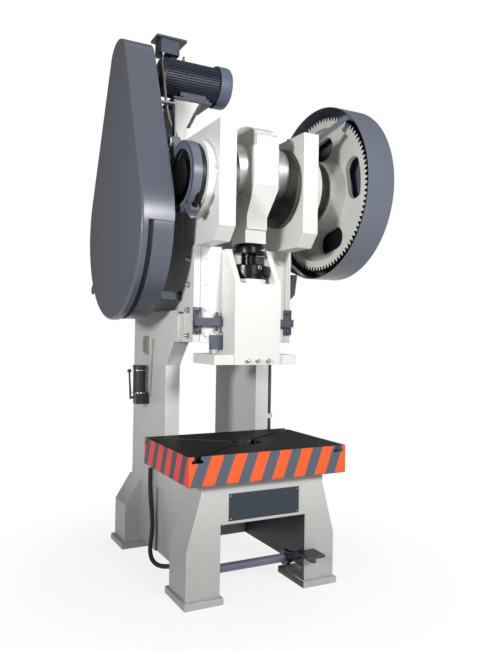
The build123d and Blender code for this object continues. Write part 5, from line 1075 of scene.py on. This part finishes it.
class PRESS_OT_motor(bpy.types.Operator):
    """Finish the motor: finned body, grilled fan cowl, terminal box with its screws, foot bolts"""

    bl_idname = "press.motor"
    bl_label = "Motor"

    def execute(self, context):
        self.add_body()
        self.add_cowl()
        rounded_node("terminal_box", "machine_frame", "motor_paint", "motor_enamel", width=0.003)
        self.add_screws()
        return {"FINISHED"}

    def add_screws(self):
        """The four screws of the terminal box's lid, and the four foot bolts."""
        inset, head_radius, head = 0.016, 0.0065, 0.006
        foot_top, foot_screw_y, foot_screw_rows = 2.977, 0.100, (-0.262, -0.138)
        foot_head_radius, foot_head, foot_shank = 0.012, 0.008, 0.006
        form = bmesh.new()
        for x in (BOX_LOW.x + inset, BOX_HIGH.x - inset):
            for y in (BOX_LOW.y + inset, BOX_HIGH.y - inset):
                add_socket_screw(form, Vector((x, y, BOX_HIGH.z - head)), (0, 0, 1), head_radius, head)
        for x in foot_screw_rows:
            for side in (-1, 1):
                seat = Vector((x, MOTOR_AXIS.y + side * foot_screw_y, foot_top))
                add_hex_screw(form, seat, (0, 0, 1), foot_head_radius, foot_head, shank=foot_shank)
        add_piece("motor_screws", form, "machine_frame", "bright_steel", "bolt_steel")

    def add_body(self):
        """Motor body: end bell, many thin cooling fins along it, feet, box neck and eye boss."""
        left, right, core = -0.402, -0.022, 0.108
        bell, bell_radius, cover, cover_radius = 0.010, 0.112, 0.008, 0.072
        flange_start, flange, flange_radius = -0.030, 0.024, 0.1327
        foot_size, foot_y, foot_z = (0.180, 0.034, 0.014), 0.095, 2.9682
        web_size, web_y, web_z = (0.180, 0.010, 0.090), 0.062, 3.0180
        neck_x, neck_z, neck_size = -0.3255, 3.226, (0.039, 0.060, 0.024)
        boss_x, boss_foot, boss_radius, boss_height = -0.246, 3.214, 0.012, 0.020
        feet_x = -0.200
        centre = Vector((0, MOTOR_AXIS.y, MOTOR_AXIS.z))
        leftward, rightward = (-1, 0, 0), (1, 0, 0)
        form = bmesh.new()
        add_disc(form, centre + Vector((left, 0, 0)), rightward, core, right - left, sides=64)
        add_disc(form, centre + Vector((left, 0, 0)), leftward, bell_radius, bell, sides=64, edge=0.004)
        cover_foot = centre + Vector((left - bell, 0, 0))
        add_disc(form, cover_foot, leftward, cover_radius, cover, sides=48, edge=0.002)
        add_disc(form, centre + Vector((flange_start, 0, 0)), rightward, flange_radius, flange, sides=64)
        self.add_fins(form, centre + Vector(((left + right) / 2, 0, 0)), right - left, core)
        for side in (-1, 1):
            add_block(form, (feet_x, centre.y + side * foot_y, foot_z), foot_size)
            add_block(form, (feet_x, centre.y + side * web_y, web_z), web_size)
        add_block(form, (neck_x, centre.y, neck_z), neck_size)
        boss = Vector((boss_x, centre.y, boss_foot))
        add_disc(form, boss, (0, 0, 1), boss_radius, boss_height, sides=28, edge=0.001)
        body = add_piece(
            "motor_body_finished", form, "machine_frame", "motor_paint", "motor_enamel", sharp=30)
        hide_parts("motor_body")

    def add_fins(self, form, centre, length, core):
        """Thin cooling fins all round the body, each a blade that stands on its core."""
        fins, thickness, depth, proud, end_gap = 48, 0.0034, 0.015, 0.0055, 0.004
        blade = Matrix.Diagonal((length - 2 * end_gap, thickness, depth, 1))
        for fin in range(fins):
            turn = Matrix.Rotation(2 * math.pi * fin / fins, 4, "X")
            place = Matrix.Translation(centre) @ turn @ Matrix.Translation((0, 0, core + proud))
            bmesh.ops.create_cube(form, size=1, matrix=place @ blade)

    def add_cowl(self):
        """A thin pressed cowl with a round grille in its end."""
        outer, wall, bend, grille = 0.135, 0.002, 0.024, 0.094
        arc_steps = 6
        left, right = COWL_LOW.x, COWL_HIGH.x
        centre = Vector((0, MOTOR_AXIS.y, MOTOR_AXIS.z))
        corner = Vector((right - bend, 0, outer - bend))
        arc = [
            corner + Vector((math.sin(turn), 0, math.cos(turn))) * bend
            for turn in (math.radians(90) * step / arc_steps for step in range(arc_steps + 1))]
        inner_arc = [point + (corner - point).normalized() * wall for point in reversed(arc)]
        outline = [
            Vector((left, 0, outer)), *arc, Vector((right, 0, grille)), Vector((right - wall, 0, grille)),
            *inner_arc, Vector((left, 0, outer - wall))]
        form = bmesh.new()
        add_turned_outline(form, [centre + point for point in outline], centre, steps=72)
        self.add_grille(form, centre + Vector((right - wall, 0, 0)))
        cowl = add_piece("fan_cowl_finished", form, "machine_frame", "motor_paint", "cowl_enamel")
        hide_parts("fan_cowl")

    def add_grille(self, form, middle):
        """Rings of wire round a hub, held by spokes."""
        hub, hub_thickness, wire, spoke_wire = 0.024, 0.004, 0.0016, 0.0018
        spokes, first_angle, spoke_start, spoke_length = 6, math.radians(15), 0.020, 0.075
        axis = Vector((1, 0, 0))
        ring_radii = (0.026, 0.040, 0.054, 0.068, 0.082, 0.094)
        for radius in ring_radii:
            add_ring(form, middle, axis, radius, wire, steps=56, sides=8)
        for spoke in range(spokes):
            turn = 2 * math.pi * spoke / spokes + first_angle
            way = Vector((0, math.cos(turn), math.sin(turn)))
            add_disc(form, middle + way * spoke_start, way, spoke_wire, spoke_length, sides=10)
        add_disc(form, middle - axis * hub_thickness / 2, axis, hub, hub_thickness, sides=32, edge=0.001)


class PRESS_OT_small_fittings(bpy.types.Operator):
    """Add the sign's rivets, gib screws and seams, pedal tread, oil fittings and pump bands"""

    bl_idname = "press.small_fittings"
    bl_label = "Small fittings"

    def execute(self, context):
        self.add_sign()
        self.add_gib_screws()
        self.add_tread()
        self.add_oil_fittings()
        self.add_seams_and_bands()
        return {"FINISHED"}

    def add_sign(self):
        """The blank sign plate with a rounded rim and four rivets."""
        inset, front = 0.012, (0, -1, 0)
        rivet_radius, rivet_tip, rivet_height = 0.0042, 0.0026, 0.0018
        rounded_node("sign_plate", "machine_frame", "sign_paint", "sign_enamel", width=0.0012)
        form = bmesh.new()
        for x in (SIGN_LOW.x + inset, SIGN_HIGH.x - inset):
            for z in (SIGN_LOW.z + inset, SIGN_HIGH.z - inset):
                seat = Vector((x, SIGN_LOW.y, z))
                add_disc(
                    form, seat, front, rivet_radius, rivet_height, sides=20, tip_radius=rivet_tip,
                    edge=0.0004)
        add_piece("sign_rivets", form, "machine_frame", "bright_steel", "bolt_steel")

    def add_gib_screws(self):
        """Painted hexagon screws on the gibs, bright ones with lock nuts at their sides."""
        lowest_row, row_pitch = 1.466, 0.151
        rows = [lowest_row + row_pitch * row for row in range(4)]
        front_x, head_radius, front_head, side_head = 0.248, 0.0165, 0.010, 0.011
        painted = bmesh.new()
        for side in (-1, 1):
            for z in rows:
                seat = Vector((side * front_x, GIB_LOW.y, z))
                add_hex_screw(painted, seat, (0, -1, 0), head_radius, front_head)
        heads = add_piece("gib_screws_finished", painted, "machine_frame", "frame_paint", "bright_enamel")
        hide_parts("gib_bolts")
        side_x, side_y, below_row, shank_radius, shank_length = 0.331, -0.295, 0.012, 0.0084, 0.028
        core, crest, pitch, thread_start, thread_length = 0.0083, 0.0092, 0.0025, 0.0135, 0.013
        bright = bmesh.new()
        seats = [
            (Vector((side * side_x, side_y, z - below_row)), Vector((side, 0, 0)))
            for side in (-1, 1) for z in rows]
        for seat, way in seats:
            add_hex_screw(bright, seat, way, head_radius, side_head)
            add_disc(bright, seat, way, shank_radius, shank_length, sides=20, edge=0.0015)
        # Threads come after all the discs, so that the rims are the same in each run
        for seat, way in seats:
            thread_foot = seat + way * thread_start
            add_thread(bright, thread_foot, way, core, crest, pitch, thread_length, steps=16)
        nuts = add_piece("gib_side_nuts", bright, "machine_frame", "bright_steel", "bolt_steel")
        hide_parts("gib_side_screws")

    def add_seams_and_bands(self):
        """The dark joints beside the gibs, and the two bright bands on the hand pump."""
        seam_x, seam_middle, seam_size = 0.289, 1.701, (0.0022, 0.0010, 0.564)
        form = bmesh.new()
        for side in (-1, 1):
            add_block(form, (side * seam_x, GIB_LOW.y, seam_middle), seam_size)
        add_piece("gib_seams", form, "machine_frame", "frame_paint", "black_steel")
        pump_x, pump_y, band_radius, band_height = -0.430, 0.295, 0.0475, 0.005
        band_feet = (1.064, 1.214)
        form = bmesh.new()
        for foot in band_feet:
            place = Vector((pump_x, pump_y, foot))
            add_disc(form, place, (0, 0, 1), band_radius, band_height, sides=40, edge=0.001)
        add_piece("pump_bands", form, "machine_frame", "bright_steel", "bolt_steel")

    def add_tread(self):
        """Raised lozenges on the foot pedal."""
        rows, step, height, slimness, foot_radius, top_radius = 5, 0.021, 0.0022, 0.32, 0.0095, 0.006
        plate_middle_x, plate_back, below_top = 0.269, -0.668, 0.0007
        middle = Vector((plate_middle_x, (PEDAL_LOW.y + plate_back) / 2, PEDAL_HIGH.z - below_top))
        form = bmesh.new()
        for row in range(rows):
            for column in range(rows):
                place = middle + Vector((column - rows // 2, row - rows // 2, 0)) * step
                lean = math.radians(45 if (row + column) % 2 else -45)
                slim = Matrix.Rotation(lean, 4, "Z") @ Matrix.Diagonal((1, slimness, 1, 1))
                bmesh.ops.create_cone(
                    form, cap_ends=True, cap_tris=False, segments=12, radius1=foot_radius,
                    radius2=top_radius, depth=height, matrix=Matrix.Translation(place) @ slim)
        add_piece("pedal_tread", form, "pedal", "black_steel", "black_steel")

    def add_oil_fittings(self):
        """Oil cup with its bent pipe and a plug on the slide's housing, plugs on the two bearing caps."""
        up = Vector((0, 0, 1))
        plug_x, cup_x, fitting_y, cap_x, cap_top = 0.245, -0.232, -0.300, 0.270, 2.6505
        plug_radius, plug_height, cup_radius, cup_tip, cup_height = 0.0095, 0.027, 0.012, 0.006, 0.024
        nut_radius, nut_height, cap_plug_radius, cap_plug_height = 0.008, 0.010, 0.013, 0.020
        form = bmesh.new()
        add_disc(form, (plug_x, fitting_y, HOUSING_TOP), up, plug_radius, plug_height, sides=28, edge=0.002)
        cup = Vector((cup_x, fitting_y, HOUSING_TOP))
        add_disc(form, cup, up, cup_radius, cup_height, sides=28, tip_radius=cup_tip, edge=0.001)
        for side in (-1, 1):
            cap = Vector((side * cap_x, CRANK_AXIS.y, cap_top))
            cap_plug = cap + up * nut_height
            add_disc(form, cap, up, nut_radius, nut_height, sides=6, edge=0.0008)
            add_disc(form, cap_plug, up, cap_plug_radius, cap_plug_height, sides=24, edge=0.0025)
        add_piece("oil_plugs", form, "machine_frame", "bright_steel", "bolt_steel")
        pipe_radius, pipe_length, lap, from_cup = 0.0035, 0.024, 0.002, 0.022
        form = bmesh.new()
        pipe_foot = cup - Vector((from_cup, 0, 0))
        bend = pipe_foot + Vector((-lap, 0, pipe_length))
        add_disc(form, pipe_foot, up, pipe_radius, pipe_length, sides=14)
        add_disc(form, bend, (1, 0, 0), pipe_radius, pipe_length, sides=14)
        add_piece("oil_pipe", form, "machine_frame", "black_steel", "black_steel")


NODE_FINISHES = {
    "guard_enamel": ("belt_guard", "guard_stays", "flywheel"),
    "light_guard_enamel": ("gear_guard", "gear_guard_stays", "brake_band"),
    "shaft_enamel": ("pedal_shaft",),
    "pump_enamel": ("lube_pump",),
    # pedestal_strut is dark steel, partly as painted shade along the gusset's slanted edge
    "black_steel": (
        "foot_pedal", "pump_lever", "clutch_latch", "rod_cap_screws", "push_rod", "pedestal_strut"),
    "black_gloss": ("lock_nut", "ball_cap"),
    "bolt_steel": ("latch_pin", "eye_bolt", "hose_glands", "oil_distributor"),
    "bright_steel": ("back_shaft", "motor_shaft", "crank_pin", "rod_bush", "main_bushes"),
    "dark_iron": ("clutch_hub",),
    "web_steel": ("crankshaft",),
    "oily_iron": ("motor_pulley", "pinion"),
    "drum_finish": ("brake_drum",),
    "bronze": ("back_shaft_bushes",),
    "belt_rubber": ("v_belts",),
    "gear_finish": ("bull_gear",),
}


class PRESS_OT_finishes(bpy.types.Operator):
    """Give every CAD node that still shows its finish"""

    bl_idname = "press.finishes"
    bl_label = "Finishes"

    def execute(self, context):
        for finish, nodes in NODE_FINISHES.items():
            for node in nodes:
                dress(frame["nodes"][node], finish)
        bare = [
            name for name, node in frame["nodes"].items()
            if not node.hide_render and not any(name in nodes for nodes in NODE_FINISHES.values())]
        if bare:
            raise RuntimeError(f"these nodes have no finish: {bare}")
        return {"FINISHED"}


class PRESS_PT_panel(bpy.types.Panel):
    """Lists the steps and the settings of the press"""

    bl_label = "Stamping press"
    bl_idname = "PRESS_PT_panel"
    bl_space_type = "VIEW_3D"
    bl_region_type = "UI"
    bl_category = "Press"

    def draw(self, context):
        for group in (context.scene.press_paints, context.scene.press_sizes):
            for name in group.bl_rna.properties.keys():
                if name not in ("rna_type", "name"):
                    self.layout.prop(group, name)
        for step in STEPS:
            self.layout.operator(step.bl_idname)


STEPS = (
    PRESS_OT_studio, PRESS_OT_hoses, PRESS_OT_castings, PRESS_OT_table, PRESS_OT_ram_and_rod, PRESS_OT_brake,
    PRESS_OT_motor, PRESS_OT_small_fittings, PRESS_OT_finishes,
)
CLASSES = (PressPaints, PressSizes, *STEPS, PRESS_PT_panel)


def register():
    for kind in CLASSES:
        bpy.utils.register_class(kind)
    bpy.types.Scene.press_paints = PointerProperty(type=PressPaints)
    bpy.types.Scene.press_sizes = PointerProperty(type=PressSizes)


def unregister():
    del bpy.types.Scene.press_sizes
    del bpy.types.Scene.press_paints
    for kind in reversed(CLASSES):
        bpy.utils.unregister_class(kind)


def main():
    """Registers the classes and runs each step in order."""
    register()
    for step in STEPS:
        group, name = step.bl_idname.split(".")
        getattr(getattr(bpy.ops, group), name)()


if __name__ == "__main__":
    main()
